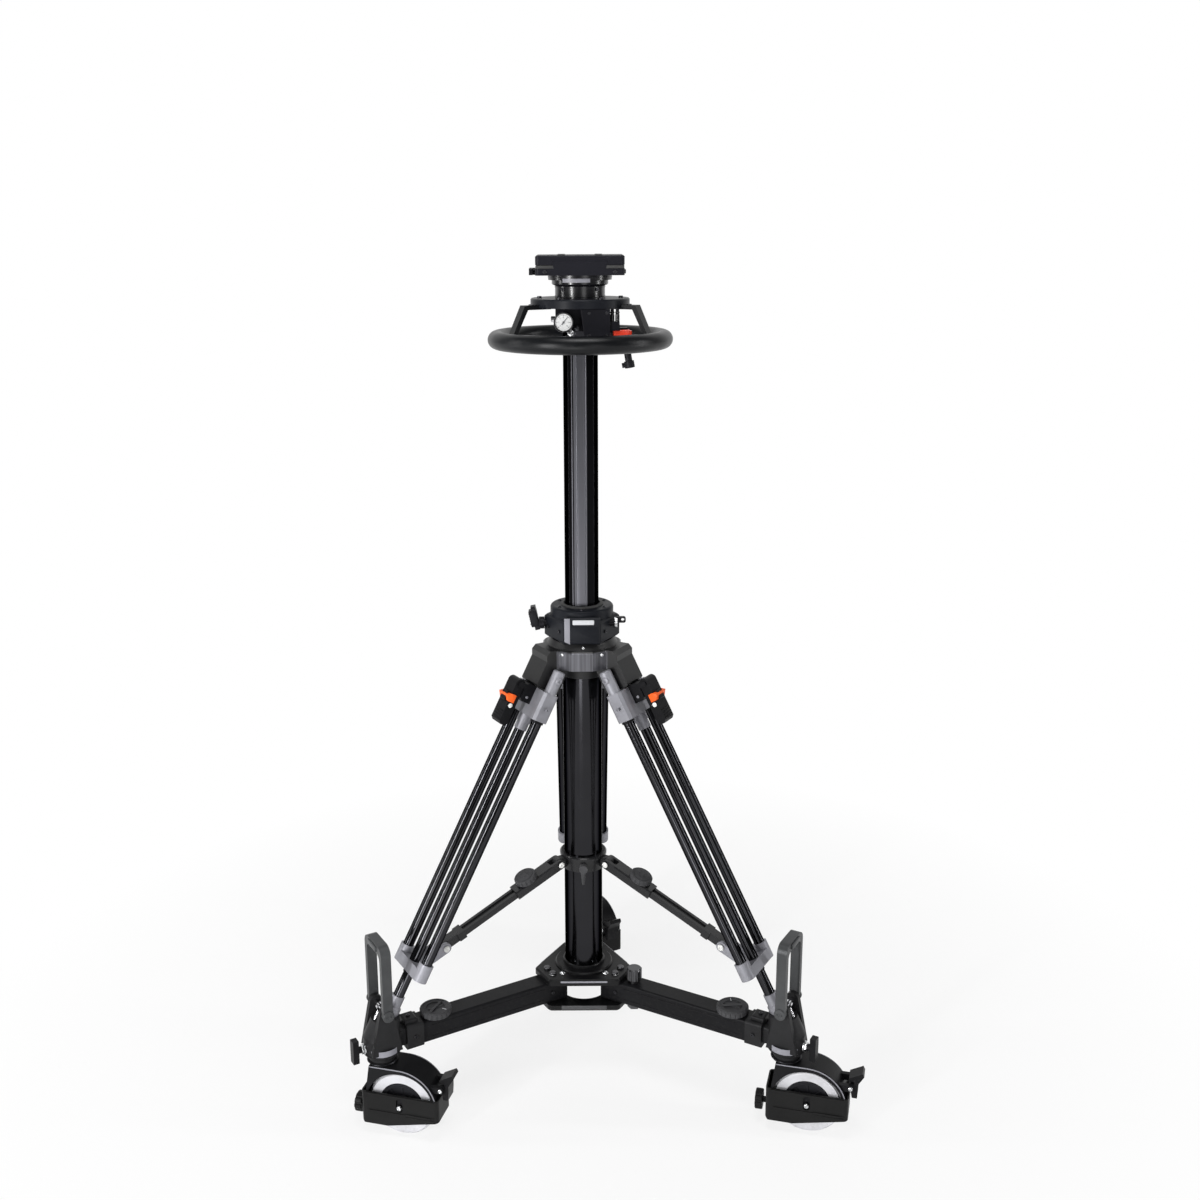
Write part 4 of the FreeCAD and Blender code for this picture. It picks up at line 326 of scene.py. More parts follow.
# Tones under studio light in thousandths, where they differ from the plain paint of the record
studioTones = {
    "hub_paint": (4.5, 4.5, 5), "arm_paint": (7, 7, 8), "clamp_paint": (21, 21, 22), "loop_paint": (64, 66, 68),
    "column_black": (30, 30, 33), "crown_paint": (8, 8, 8.5), "head_paint": (8, 9, 12),
    "casting_grey": (240, 240, 265), "tube_black": (34, 34, 37), "spreader_black": (10, 10, 11),
    "knob_plastic": (55, 55, 58), "inner_dark": (100, 100, 112), "disc_paint": (9, 10, 13),
    "ring_paint": (2.5, 3, 4), "block_paint": (9, 9, 12), "plate_black": (11, 11, 15), "neck_black": (7, 7, 9),
    "caster_paint": (10, 10, 11), "wheel_plastic": (18, 18, 21), "tread_grey": (680, 680, 710),
    "guard_plastic": (11, 11, 11), "lock_black": (5, 5, 6), "lever_metal": (12, 12, 14), "brake_steel": (8, 8, 9),
    "release_red": (800, 50, 20), "gauge_case": (10, 10, 11), "screw_black": (10, 10, 11),
}
slotColours.update({slot: tuple(c / 1000 for c in tone) + (1,) for slot, tone in studioTones.items()})

slotSettings = {
    powderCoat: {"hub_paint": {"rough": 0.34, "spec": 0.2}, "arm_paint": {"rough": 0.38}, "head_paint": {"rough": 0.4},
                 "disc_paint": {"rough": 0.36}, "ring_paint": {"rough": 0.36, "spec": 0.25},
                 "gauge_case": {"rough": 0.25, "spec": 0.5}, "brake_steel": {"rough": 0.36}},
    brightMetal: {"bolt_steel": {"rough": 0.3}, "pin_steel": {"rough": 0.16}, "piston_alu": {"rough": 0.25},
                  "valve_chrome": {"rough": 0.12}},
    casting: {"clamp_paint": {"rough": 0.46}, "loop_paint": {"rough": 0.36, "depth": 0.00006},
              "screw_black": {"rough": 0.4}, "casting_grey": {"rough": 0.46, "metal": 0.35, "spec": 0.5},
              "lever_metal": {"rough": 0.38, "depth": 0.00006},
              "caster_paint": {"rough": 0.4, "depth": 0.00006, "metal": 0.1}},
    crownCasting: {"crown_paint": {}},
    paintedLightColumn: {"inner_dark": {}},
    anodised: {"column_black": {"rough": 0.16, "metal": 1, "rim": 0.05, "lines": (900, 900, 14)},
               "tube_black": {"rough": 0.15, "metal": 1, "rim": 0.05, "drawnDepth": 0.08},
               "spreader_black": {"rough": 0.26, "spec": 0.35, "drawnDepth": 0.1},
               "block_paint": {"rough": 0.42, "lines": (60, 900, 900)},
               "neck_black": {"rough": 0.24, "spec": 0.5, "lines": (30, 30, 900), "drawnDepth": 0.08},
               "plate_black": {"rough": 0.42, "lines": (900, 40, 900)}},
    moulded: {"bush_plastic": {}, "lock_black": {"rough": 0.46}, "knob_plastic": {}, "wheel_plastic": {},
              "release_red": {"rough": 0.28, "spec": 0.5}, "guard_plastic": {"rough": 0.44}},
    rubbery: {"seal_rubber": {"dust": 0}, "tread_grey": {}},
}
finishes = {slot: maker(slot + "Finish", slotColours[slot], **settings)
            for maker, slots in slotSettings.items() for slot, settings in slots.items()}

slotOfNode = {s["node"]: s["material_slot"] for s in frame["record"]["subparts"]}
for node, item in frame["nodes"].items():
    item.data.materials.clear()
    item.data.materials.append(finishes[slotOfNode[node]])
print("finishes on the CAD nodes:", len(finishes))

# Finishes of small pieces that have no CAD node of their own
dialWhite = plainEnamel("dialWhite", (0.90, 0.90, 0.89, 1))
dialBlack = plainEnamel("dialBlack", (0.012, 0.012, 0.013, 1))
tabOrange = moulded("tabOrange", (0.86, 0.12, 0.02, 1), rough=0.4)
# white for the spreader pins, and for a painted highlight on the leg lock levers
dotWhite = plainEnamel("dotWhite", (0.80, 0.80, 0.78, 1))
plateGrey = plainEnamel("plateGrey", (0.55, 0.56, 0.58, 1), 0.4)
# pale grey for the neck label and release post, and for painted highlights on hub edges, the shield bevel, clamp bands
# and hood rims
edgeGrey = plainEnamel("edgeGrey", (0.24, 0.24, 0.27, 1), 0.4)
slateGrey = plainEnamel("slateGrey", (0.05, 0.05, 0.053, 1), 0.4)
glossBlack = plainEnamel("glossBlack", (0.012, 0.012, 0.013, 1), 0.2)
zincSteel = brightMetal("zincSteel", (0.70, 0.71, 0.72, 1), 0.24)
blackOxide = brightMetal("blackOxide", (0.05, 0.05, 0.055, 1), 0.34)
lensGlass = clearLens("lensGlass")


# Mesh helpers. Part shapes are drawn in millimetres and joined into one piece

ribSteps = 60
bothSides = (-1, 1)


def spunPart(profile, steps=28):
    # spins (radius, height) pairs about Z
    part = bmesh.new()
    ring = [part.verts.new((r * mm, 0, z * mm)) for r, z in profile]
    lines = [part.edges.new(pair) for pair in zip(ring, ring[1:])]
    bmesh.ops.spin(part, geom=ring + lines, cent=(0, 0, 0), axis=(0, 0, 1), angle=2 * pi, steps=steps,
                   use_merge=True)
    bmesh.ops.remove_doubles(part, verts=part.verts, dist=1e-7)
    bmesh.ops.recalc_face_normals(part, faces=part.faces)
    return part


def softened(part, bevel, segments=2):
    if bevel:
        bmesh.ops.bevel(part, geom=part.edges[:], offset=bevel * mm, offset_type="OFFSET", segments=segments,
                        profile=0.5, affect="EDGES", material=-1, clamp_overlap=True)
    return part


def blockPart(size, bevel=0, segments=2):
    part = bmesh.new()
    bmesh.ops.create_cube(part, size=1)
    bmesh.ops.scale(part, vec=Vector(size) * mm, verts=part.verts)
    return softened(part, bevel, segments)


def platePart(outline, thickness, bevel=0):
    # outline in the XY plane, thickness along +Z
    part = bmesh.new()
    face = part.faces.new([part.verts.new((x * mm, y * mm, 0)) for x, y in outline])
    up = bmesh.ops.extrude_face_region(part, geom=[face], use_keep_orig=True)
    bmesh.ops.translate(part, verts=[v for v in up["geom"] if isinstance(v, bmesh.types.BMVert)],
                        vec=(0, 0, thickness * mm))
    bmesh.ops.recalc_face_normals(part, faces=part.faces)
    return softened(part, bevel)


def rounded(width, height, corner, steps=4):
    # outline of a rectangle with round corners
    points = []
    for cx, cy, start in ((1, 1, 0), (-1, 1, 90), (-1, -1, 180), (1, -1, 270)):
        for k in range(steps + 1):
            angle = radians(start + 90 * k / steps)
            points.append((cx * (width / 2 - corner) + corner * cos(angle),
                           cy * (height / 2 - corner) + corner * sin(angle)))
    return points


def hexed(part, radius):
    # pulls a ring of points onto a hexagon
    for vert in part.verts:
        if abs(hypot(vert.co.x, vert.co.y) - radius * mm) < 1e-6:
            angle = (atan2(vert.co.y, vert.co.x) % (pi / 3)) - pi / 6
            vert.co.x *= cos(pi / 6) / cos(angle)
            vert.co.y *= cos(pi / 6) / cos(angle)
    return part


def ribbed(part, radius, depth):
    # knurl: every other column of points on a rim is sunk
    for vert in part.verts:
        turn = round(atan2(vert.co.y, vert.co.x) / (2 * pi) * ribSteps)
        if turn % 2 and hypot(vert.co.x, vert.co.y) > (radius - 0.01) * mm:
            vert.co.x *= 1 - depth / radius
            vert.co.y *= 1 - depth / radius
    return part


def capScrew(radius, height, socket=0.52):
    # socket head screw standing on zero
    s = radius * socket
    edge = radius * 0.12
    part = spunPart([(radius, 0), (radius, height - edge), (radius - edge, height), (s, height),
                     (s * 0.99, height * 0.35), (0, height * 0.35)], 24)
    return hexed(hexed(part, s), s * 0.99)


def domeScrew(radius, height, socket=0.45):
    s = radius * socket
    profile = [(radius, 0), (radius * 0.97, height * 0.35), (radius * 0.82, height * 0.75),
               (radius * 0.6, height * 0.95), (s, height), (s * 0.99, height * 0.4), (0, height * 0.4)]
    return hexed(hexed(spunPart(profile, 24), s), s * 0.99)


def hexNut(across, height, bevel=0.35):
    r = across / 2 / cos(pi / 6) * mm
    part = bmesh.new()
    bmesh.ops.create_cone(part, cap_ends=True, segments=6, radius1=r, radius2=r, depth=height * mm)
    bmesh.ops.translate(part, verts=part.verts, vec=(0, 0, height * mm / 2))
    return softened(part, bevel)


def washer(outer, inner, height):
    return spunPart([(inner, 0), (outer, 0), (outer, height * 0.8), (outer - height * 0.3, height),
                     (inner, height), (inner, 0)], 32)


def bandPart(radius, thickness, height, start, end, steps=24):
    # strip that lies round an upright cylinder
    angles = [radians(start + (end - start) * k / steps) for k in range(steps + 1)]
    outline = [((radius + thickness) * cos(a), (radius + thickness) * sin(a)) for a in angles]
    outline += [(radius * cos(a), radius * sin(a)) for a in reversed(angles)]
    return platePart(outline, height)


def pinHead(radius, height, edge=0.6, sunk=0.5):
    # round head with a shallow sunk centre
    return spunPart([(radius, 0), (radius, height - edge), (radius - edge, height), (radius * 0.35, height),
                     (radius * 0.3, height - sunk), (0, height - sunk)], 32)


class Piece:
    # parts gathered into one object that rides on a body
    def __init__(self, name, body, slot, finish=None):
        self.name, self.body, self.slot = name, body, slot
        self.finish = finish or finishes[slot]
        self.mesh = bmesh.new()

    def put(self, part, *places):
        # adds one copy of the part at each place
        store = bpy.data.meshes.new("part")
        for place in places:
            part.to_mesh(store)
            store.transform(place)
            self.mesh.from_mesh(store)
        bpy.data.meshes.remove(store)
        part.free()
        return self

    def done(self, sharp=32):
        for edge in self.mesh.edges:
            if len(edge.link_faces) == 2 and edge.calc_face_angle(0) > radians(sharp):
                edge.smooth = False
        for face in self.mesh.faces:
            face.smooth = True
        data = bpy.data.meshes.new(self.name)
        self.mesh.to_mesh(data)
        self.mesh.free()
        data.materials.append(self.finish)
        item = bpy.data.objects.new(self.name, data)
        bpy.context.scene.collection.objects.link(item)
        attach(item, self.body)


# Pressure gauge: white dial, scale, needle, rim and lens

def makeNumber(text, size, thickness):
    words = bpy.data.curves.new("number", "FONT")
    words.body, words.size, words.extrude = text, size * mm, thickness * mm
    words.align_x, words.align_y = "CENTER", "CENTER"
    holder = bpy.data.objects.new("number", words)
    flat = bpy.data.meshes.new_from_object(holder)
    number = bmesh.new()
    number.from_mesh(flat)
    bpy.data.objects.remove(holder)
    bpy.data.meshes.remove(flat)
    bpy.data.curves.remove(words)
    return number


def makeGauge():
    gauge = {"x": -21, "y": -48, "z": 1171, "turn": -8, "dialDepth": 11.8, "dialRadius": 11.7, "rimRadius": 13.5}
    front = (aboutAxis(gauge["x"], gauge["y"], gauge["z"]) @ turnedBy(gauge["turn"]) @ turnedBy(90, "X")
             @ shifted(0, 0, gauge["dialDepth"]))
    edge = gauge["dialRadius"]
    face = Piece("gaugeDial", "riser", "gauge_case", dialWhite)
    face.put(spunPart([(0, 0.25), (edge, 0.25), (edge, 0.02), (0, 0.02)], 48), front).done()

    marks = {"count": 31, "start": 225, "sweep": 270, "major": (2.6, 0.5, 0.12), "minor": (1.4, 0.28, 0.12),
             "every": 5, "inset": 1, "lift": 0.3}
    scale = Piece("gaugeScale", "riser", "gauge_case", dialBlack)
    for k in range(marks["count"]):
        size = marks["minor" if k % marks["every"] else "major"]
        turn = turnedBy(marks["start"] - marks["sweep"] * k / (marks["count"] - 1))
        scale.put(blockPart(size), front @ turn @ shifted(edge - marks["inset"] - size[0] / 2, 0, marks["lift"]))
    numbers = {"count": 7, "step": 2, "size": 2.5, "thickness": 0.05, "radius": 6.6, "lift": 0.32}
    for k in range(numbers["count"]):
        angle = radians(marks["start"] - marks["sweep"] * k / (numbers["count"] - 1))
        reach = numbers["radius"]
        scale.put(makeNumber(str(numbers["step"] * k), numbers["size"], numbers["thickness"]),
                  front @ shifted(reach * cos(angle), reach * sin(angle), numbers["lift"]))
    needle = {"outline": [(-4.2, -0.9), (0, -0.8), (9.4, -0.2), (9.4, 0.2), (0, 0.8), (-4.2, 0.9)],
              "thickness": 0.3, "lift": 0.6, "turn": 52}
    scale.put(platePart(needle["outline"], needle["thickness"]),
              front @ shifted(0, 0, needle["lift"]) @ turnedBy(needle["turn"]))
    scale.put(spunPart([(1.5, 0.3), (1.5, 1.1), (1.2, 1.35), (0, 1.4)], 20), front)
    scale.done()

    r = gauge["rimRadius"]
    ribs = {"radius": r + 0.35, "depth": 0.35, "sharp": 50}
    rim = Piece("gaugeRim", "riser", "gauge_case")
    rim.put(ribbed(spunPart([(r - 1.9, 0.6), (r - 1.9, 1.6), (r - 1.2, 2.1), (r - 0.2, 2), (r + 0.35, 1.3),
                             (r + 0.35, -6), (r - 0.1, -6)], ribSteps), ribs["radius"], ribs["depth"]), front)
    rim.done(ribs["sharp"])
    lens = Piece("gaugeLens", "riser", "gauge_case", lensGlass)
    lens.put(spunPart([(r - 1.9, 1.1), (8, 1.55), (4, 1.75), (0, 1.8)], 40), front).done()
    print("gauge made")


# Screws, washers, rings, nuts, grips and strips

def makeHubHardware():
    screw = {"spots": ((-33, -37.5), (33, -37.5), (-49, -40), (49, -40), (-40, 1.5), (40, 1.5), (16, 50), (-16, 50)),
             "top": 170, "washer": (4.6, 2.2, 0.7), "head": (3.7, 2.3)}
    bright = Piece("hubBrightScrews", "base", "bolt_steel", zincSteel)
    bright.put(washer(*screw["washer"]), *[aboutAxis(x, y, screw["top"]) for x, y in screw["spots"]])
    bright.put(domeScrew(*screw["head"]),
               *[aboutAxis(x, y, screw["top"] + screw["washer"][2]) for x, y in screw["spots"]]).done()

    ring = {"profile": [(32.5, 0), (32.5, 3.5), (31.5, 4.6), (30, 4.8), (29.4, 4.2), (29.4, 0)], "z": 174}
    Piece("hubColumnRing", "base", "hub_paint").put(spunPart(ring["profile"], 64), aboutAxis(0, 0, ring["z"])).done()

    face = {"turns": (270, 30, 150), "reach": 57.9, "top": ((1, 72, 2.8), 0.4, 166.6),
            "bottom": ((0.9, 70, 6.8), 0.35, 122.6)}
    # the pale strips along the top plate's upper edges are painted highlights; the lower strips are dark slate
    for name, finish, part in (("hubEdgeLines", edgeGrey, "top"), ("hubLowerFaces", slateGrey, "bottom")):
        size, bevel, z = face[part]
        Piece(name, "base", "hub_paint", finish).put(
            blockPart(size, bevel),
            *[aboutAxis() @ turnedBy(turn) @ shifted(face["reach"], 0, z) for turn in face["turns"]]).done()


def makeHeadHardware():
    frontFace = -52

    def onFront(x, z):
        return aboutAxis(x, frontFace, z) @ turnedBy(90, "X")

    labelPlateAndHighlightBand = {"outline": rounded(31, 7, 1.2), "thickness": 0.6, "bevel": 0.15}
    Piece("headFrontPlate", "base", "head_paint", plateGrey).put(platePart(**labelPlateAndHighlightBand), onFront(2, 742.5)).done()
    panel = {"outline": rounded(40, 24, 2), "thickness": 0.4, "bevel": 0.15}
    Piece("headFrontPanel", "base", "head_paint").put(platePart(**panel), onFront(4, 723)).done()
    # a pale strip on the shield's left bevel, a painted reflection
    shield = {"outline": [(-25.5, -15.5), (-17.5, -19.5), (-17.5, 19.5), (-25.5, 19.5)], "thickness": 0.35,
              "bevel": 0.1}
    Piece("headShieldEdge", "base", "head_paint", edgeGrey).put(platePart(**shield), onFront(0, 729)).done()

    side = {"azimuths": (30, 90, 150, 210, 330), "reach": 47.9, "z": 725, "apart": (-16, 16)}
    top = {"count": 6, "reach": 38, "z": 757, "start": 30}
    heads = {"side": (2.6, 2.2), "top": (2.6, 1.5)}
    Piece("headScrews", "base", "bolt_steel", blackOxide).put(
        capScrew(*heads["side"]), *facingOut(**side)).put(domeScrew(*heads["top"]), *onCircle(**top)).done()

    crown = {"azimuths": (240, 300, 0, 60, 120, 180), "reach": 57.8, "z": 693}
    single = {"place": (1.5, -50.5, 703.6), "lean": 55}
    heads = {"crown": (2.9, 2), "single": (2.4, 1.3)}
    Piece("crownScrews", "base", "bolt_steel", zincSteel).put(domeScrew(*heads["crown"]), *facingOut(**crown)).put(
        domeScrew(*heads["single"]), aboutAxis(*single["place"]) @ turnedBy(single["lean"], "X")).done()

    wiper = {"profile": [(26.6, 0), (31.5, 0), (31.5, 0.9), (29.5, 2.2), (26.9, 2.6), (26.6, 2.2), (26.6, 0)],
             "z": 757}
    Piece("columnWiper", "base", "seal_rubber").put(spunPart(wiper["profile"], 60), aboutAxis(0, 0, wiper["z"])).done()
    print("head hardware made")


def makeLeverHardware():
    rod = {"centre": (-60, 0, 728), "head": (3.6, 3.2), "headX": -13.6, "washer": (7.4, 4.5, 1), "washerX": 4.2}
    centre = aboutAxis(*rod["centre"])
    rods = Piece("columnBrakePins", "column_brake", "lever_metal", zincSteel)
    rods.put(capScrew(*rod["head"]), centre @ shifted(rod["headX"]) @ turnedBy(-90, "Y"))
    rods.put(washer(*rod["washer"]), centre @ shifted(rod["washerX"]) @ turnedBy(-90, "Y")).done()

    hold = {"place": (-63.7, 0, 728), "lean": -12, "block": ((12, 17, 25), 1.6), "x": -5.6, "z": 9,
            "ridges": 5, "ridge": ((1, 14, 1.4), 0.4), "ridgeX": -11.6, "ridgeZ": 1, "step": 4}
    lean = aboutAxis(*hold["place"]) @ turnedBy(hold["lean"], "Y")
    grip = Piece("columnBrakeGrip", "column_brake", "lever_metal")
    grip.put(blockPart(*hold["block"], 3), lean @ shifted(hold["x"], 0, hold["z"]))
    grip.put(blockPart(*hold["ridge"]),
             *[lean @ shifted(hold["ridgeX"], 0, hold["ridgeZ"] + hold["step"] * k) for k in range(hold["ridges"])])
    grip.done()

    knob = {"profile": [(0, 0), (6.6, 0), (7.9, 0.6), (7.9, 4.2), (6.6, 4.8), (0, 4.8)], "radius": 7.9,
            "ribDepth": 0.4, "place": (47.6, -22, 734), "sharp": 50}
    cam = Piece("columnCamPins", "column_cam", "lever_metal", zincSteel)
    cam.put(ribbed(spunPart(knob["profile"], ribSteps), knob["radius"], knob["ribDepth"]),
            aboutAxis(*knob["place"]) @ turnedBy(90, "Y")).done(knob["sharp"])


def makeDiscHardware():
    top = {"count": 6, "reach": 57, "z": 1201}
    arms = {"azimuths": (210, 330, 90), "reach": 78, "apart": 3.4, "z": 1193}
    heads = {"top": (3.2, 2.6), "arms": (2, 1.2)}
    screws = Piece("discScrews", "riser", "disc_paint", blackOxide)
    screws.put(capScrew(*heads["top"]), *onCircle(**top))
    screws.put(domeScrew(*heads["arms"]),
               *[aboutAxis() @ turnedBy(azimuth) @ shifted(arms["reach"], t * arms["apart"], arms["z"])
                 for azimuth in arms["azimuths"] for t in bothSides]).done()

    seam = Piece("neckRings", "riser", "neck_black")
    for z, r in ((1202.6, 35), (1215.1, 35), (1228.6, 44.5)):
        seam.put(spunPart([(r - 0.4, 0), (r + 0.4, 0.3), (r + 0.5, 1.2), (r + 0.4, 2.1), (r - 0.4, 2.4)], 72),
                 aboutAxis(0, 0, z))
    seam.done()

    band = {"radius": 44.5, "thickness": 0.5, "height": 5.2, "start": 238, "end": 288}
    Piece("neckBand", "riser", "neck_black", edgeGrey).put(bandPart(**band), aboutAxis(0, 0, 1223.3)).done()

    clamp = {"azimuths": (228, 312, 30, 60, 90, 120, 150), "reach": 34.8, "z": 1213.5}
    Piece("neckScrews", "riser", "neck_black", blackOxide).put(capScrew(2.5, 1.6), *facingOut(**clamp)).done()


def makeBlockHardware():
    screw = {"y": -60, "spots": ((12, 1183), (36, 1183), (12, 1153), (36, 1153)), "head": (2.1, 1.2)}
    Piece("blockScrews", "riser", "block_paint", blackOxide).put(
        capScrew(*screw["head"]),
        *[aboutAxis(x, screw["y"], z) @ turnedBy(90, "X") for x, z in screw["spots"]]).done()

    sleeve = {"places": (44, 51), "y": -48, "z": 1171, "nutZ": 1182, "nut": (6, 2.4), "sharp": 40,
              "profile": [(2.4, 0), (3, 0.4), (3, 9.6), (2.4, 10)]}
    valves = Piece("valveSleeves", "riser", "block_paint", glossBlack)
    valves.put(spunPart(sleeve["profile"], 24), *[aboutAxis(x, sleeve["y"], sleeve["z"]) for x in sleeve["places"]])
    valves.put(hexNut(*sleeve["nut"]), *[aboutAxis(x, sleeve["y"], sleeve["nutZ"]) for x in sleeve["places"]])
    valves.done(sleeve["sharp"])

    union = {"place": (-13.5, -46, 1156), "nut": (8.4, 3.6), "sharp": 40,
             "profile": [(2.8, 3.6), (3, 4.2), (3, 6.4), (2.2, 7.6), (0, 8)]}
    place = aboutAxis(*union["place"]) @ turnedBy(90, "X")
    fitting = Piece("gaugeFitting", "riser", "block_paint", zincSteel)
    fitting.put(hexNut(*union["nut"]), place).put(spunPart(union["profile"], 28), place).done(union["sharp"])

    air = {"place": (60, -34, 1158), "lean": -10, "rings": 4, "top": -14, "step": 3.2, "nut": (13.5, 5),
           "nutZ": -10.5, "sharp": 40, "profile": [(5, 0), (5.9, 0.4), (5.9, 1.2), (5, 1.6)]}
    line = aboutAxis(*air["place"]) @ turnedBy(air["lean"], "Y")
    hose = Piece("connectorRings", "riser", "lever_metal", glossBlack)
    hose.put(spunPart(air["profile"], 32), *[line @ shifted(0, 0, air["top"] - air["step"] * k)
                                             for k in range(air["rings"])])
    hose.put(hexNut(*air["nut"]), line @ shifted(0, 0, air["nutZ"])).done(air["sharp"])

    button = {"x": -4.5, "z": 1162.5, "ringY": -46, "capY": -53.6,
              "ring": [(2.4, 0), (4.2, 0), (4.2, 1), (3.6, 1.5), (2.4, 1.5)],
              "cap": [(3.5, 0), (3.5, 0.9), (2.6, 1.5), (0, 1.6)]}
    bleed = Piece("bleedRing", "riser", "block_paint", blackOxide)
    for part in ("ring", "cap"):
        bleed.put(spunPart(button[part], 28),
                  aboutAxis(button["x"], button[part + "Y"], button["z"]) @ turnedBy(90, "X"))
    bleed.done()

    hold = {"block": ((24, 9.4, 10.6), 1.6), "place": (56.5, -48, 1154.4), "ridges": 3,
            "ridge": ((1.6, 7, 1), 0.4), "first": 60, "step": 3.4, "ridgeZ": 1159.4}
    grip = Piece("releaseGrip", "release", "release_red")
    grip.put(blockPart(*hold["block"], 3), aboutAxis(*hold["place"]))
    grip.put(blockPart(*hold["ridge"]),
             *[aboutAxis(hold["first"] + hold["step"] * k, hold["place"][1], hold["ridgeZ"])
               for k in range(hold["ridges"])]).done()
    post = {"size": (9, 8, 8.4), "bevel": 0.9}
    Piece("releasePost", "release", "block_paint", edgeGrey).put(blockPart(**post), aboutAxis(48.5, -49, 1163)).done()
    print("control block hardware made")


def makePlateHardware():
    strip = {"plate": (rounded(10, 76, 2), 0.8, 0.25), "x": 26, "z": 1259.6}
    Piece("plateStrips", "plate", "seal_rubber").put(
        platePart(*strip["plate"]),
        *[aboutAxis(side * strip["x"], 0, strip["z"]) for side in bothSides]).done()
    rail = {"block": ((25, 96, 4.3), 0.5), "x": 48, "z": 1244.3}
    Piece("slideStrips", "riser", "seal_rubber").put(
        blockPart(*rail["block"]),
        *[aboutAxis(side * rail["x"], 0, rail["z"]) for side in bothSides]).done()

    ruler = {"count": 13, "every": 3, "x": -61.05, "start": -36, "step": 6, "z": 1249.5, "long": 5, "short": 3,
             "width": 0.5, "thickness": 0.3}
    marks = Piece("plateScale", "plate", "plate_black", plateGrey)
    for k in range(ruler["count"]):
        length = ruler["short" if k % ruler["every"] else "long"]
        marks.put(blockPart((ruler["thickness"], ruler["width"], length)),
                  aboutAxis(ruler["x"], ruler["start"] + ruler["step"] * k, ruler["z"] + length / 2))
    marks.done()

    ends = {"x": 48, "y": 48, "z": 1237.5, "head": (2.6, 2)}
    side = {"x": 61, "y": 22, "z": 1237.5, "head": (3, 2.4)}
    screws = Piece("plateSideScrews", "riser", "plate_black", blackOxide)
    screws.put(capScrew(*ends["head"]),
               *[aboutAxis(a * ends["x"], b * ends["y"], ends["z"]) @ turnedBy(-90 * b, "X")
                 for a in bothSides for b in bothSides])
    screws.put(capScrew(*side["head"]),
               *[aboutAxis(side["x"], b * side["y"], side["z"]) @ turnedBy(90, "Y") for b in bothSides]).done()


def makeLegHardware(arm):
    leg = onLeg(arm)
    pin = {"at": (0, 42, -13), "head": (5.6, 2.2)}
    Piece("legPinHeads_" + arm, "base", "casting_grey").put(
        domeScrew(*pin["head"]), *onSides(leg, *pin["at"])).done()

    upper = {"profile": [(8, 0), (9.6, 0.4), (9.6, 3.2), (8, 3.6)], "reach": 33.5, "z": -81.8}
    lower = {"profile": [(8, 0), (9.4, 0.4), (9.4, 3.4), (8, 3.8)], "z": -494}
    bands = Piece("legTubeRings_" + arm, "base", "tube_black", finishes["lock_black"])
    bands.put(spunPart(upper["profile"], 36), *[leg @ shifted(0, s * upper["reach"], upper["z"]) for s in bothSides])
    bands.put(spunPart(lower["profile"], 36), leg @ shifted(0, 0, lower["z"])).done()

    outer = {"at": (0, 44.4, -58), "head": (2.7, 2.4)}
    inner = {"at": (22, 15, -54), "head": (2, 1.6)}
    bolts = Piece("legBolts_" + arm, "base", "casting_grey")
    for bolt in (outer, inner):
        bolts.put(capScrew(*bolt["head"]), *onSides(leg, *bolt["at"]))
    bolts.done()

    nose = {"outline": [(37.5, -57.5), (46, -57), (52.5, -61), (46.8, -69), (37.5, -69.5)], "width": 28.4,
            "bevel": 0.8}
    Piece("leverTab_" + arm, "leg_lock_" + arm, "release_red", tabOrange).put(
        platePart(nose["outline"], nose["width"], nose["bevel"]),
        leg @ shifted(0, nose["width"] / 2, 0) @ turnedBy(90, "X")).done()
    # a white disc on each side of the lever, a painted highlight on its pin
    glint = {"profile": [(3.4, 0), (3.4, 0.5), (2.9, 0.8), (0, 0.9)], "at": (40.5, 13, -74)}
    Piece("leverDot_" + arm, "leg_lock_" + arm, "lock_black", dotWhite).put(
        spunPart(glint["profile"], 28), *onSides(leg, *glint["at"])).done()
    rib = {"block": ((1.3, 20, 1.6), 0.5), "count": 4, "x": 46.9, "top": -85, "step": 4.2}
    Piece("leverRibs_" + arm, "leg_lock_" + arm, "lock_black").put(
        blockPart(*rib["block"]),
        *[leg @ shifted(rib["x"], 0, rib["top"] - rib["step"] * k) for k in range(rib["count"])]).done()


def makeSpreaderHardware(arm):
    outer = {"radius": 241, "z": 267, "reach": 14.6, "head": (5, 2.4)}
    inner = {"radius": 45, "z": 351, "reach": 12.2, "head": (4.6, 2)}
    for name, pin in (("spreaderPins_", outer), ("spreaderHubPins_", inner)):
        Piece(name + arm, "base", "pin_steel", dotWhite).put(
            domeScrew(*pin["head"]), *onSides(alongArm(arm, pin["radius"], pin["z"]), 0, pin["reach"], 0)).done()

    top = {"along": 56, "above": 16.5, "rib": ((17, 2, 1.6), 0.6), "ribZ": 1.4, "ribs": 3,
           "profile": [(12.5, 0), (12.5, 0.8), (11, 1.5), (4.5, 1.2), (4, 2), (0, 2.1)]}
    slope = Matrix.Rotation(atan2(inner["z"] - outer["z"], outer["radius"] - inner["radius"]), 4, "Y")
    knob = alongArm(arm, inner["radius"], inner["z"]) @ slope @ shifted(top["along"], 0, top["above"])
    cap = Piece("spreaderKnobCaps_" + arm, "base", "knob_plastic")
    cap.put(spunPart(top["profile"], 40), knob)
    cap.put(blockPart(*top["rib"]),
            *[knob @ turnedBy(180 / top["ribs"] * k) @ shifted(0, 0, top["ribZ"]) for k in range(top["ribs"])]).done()


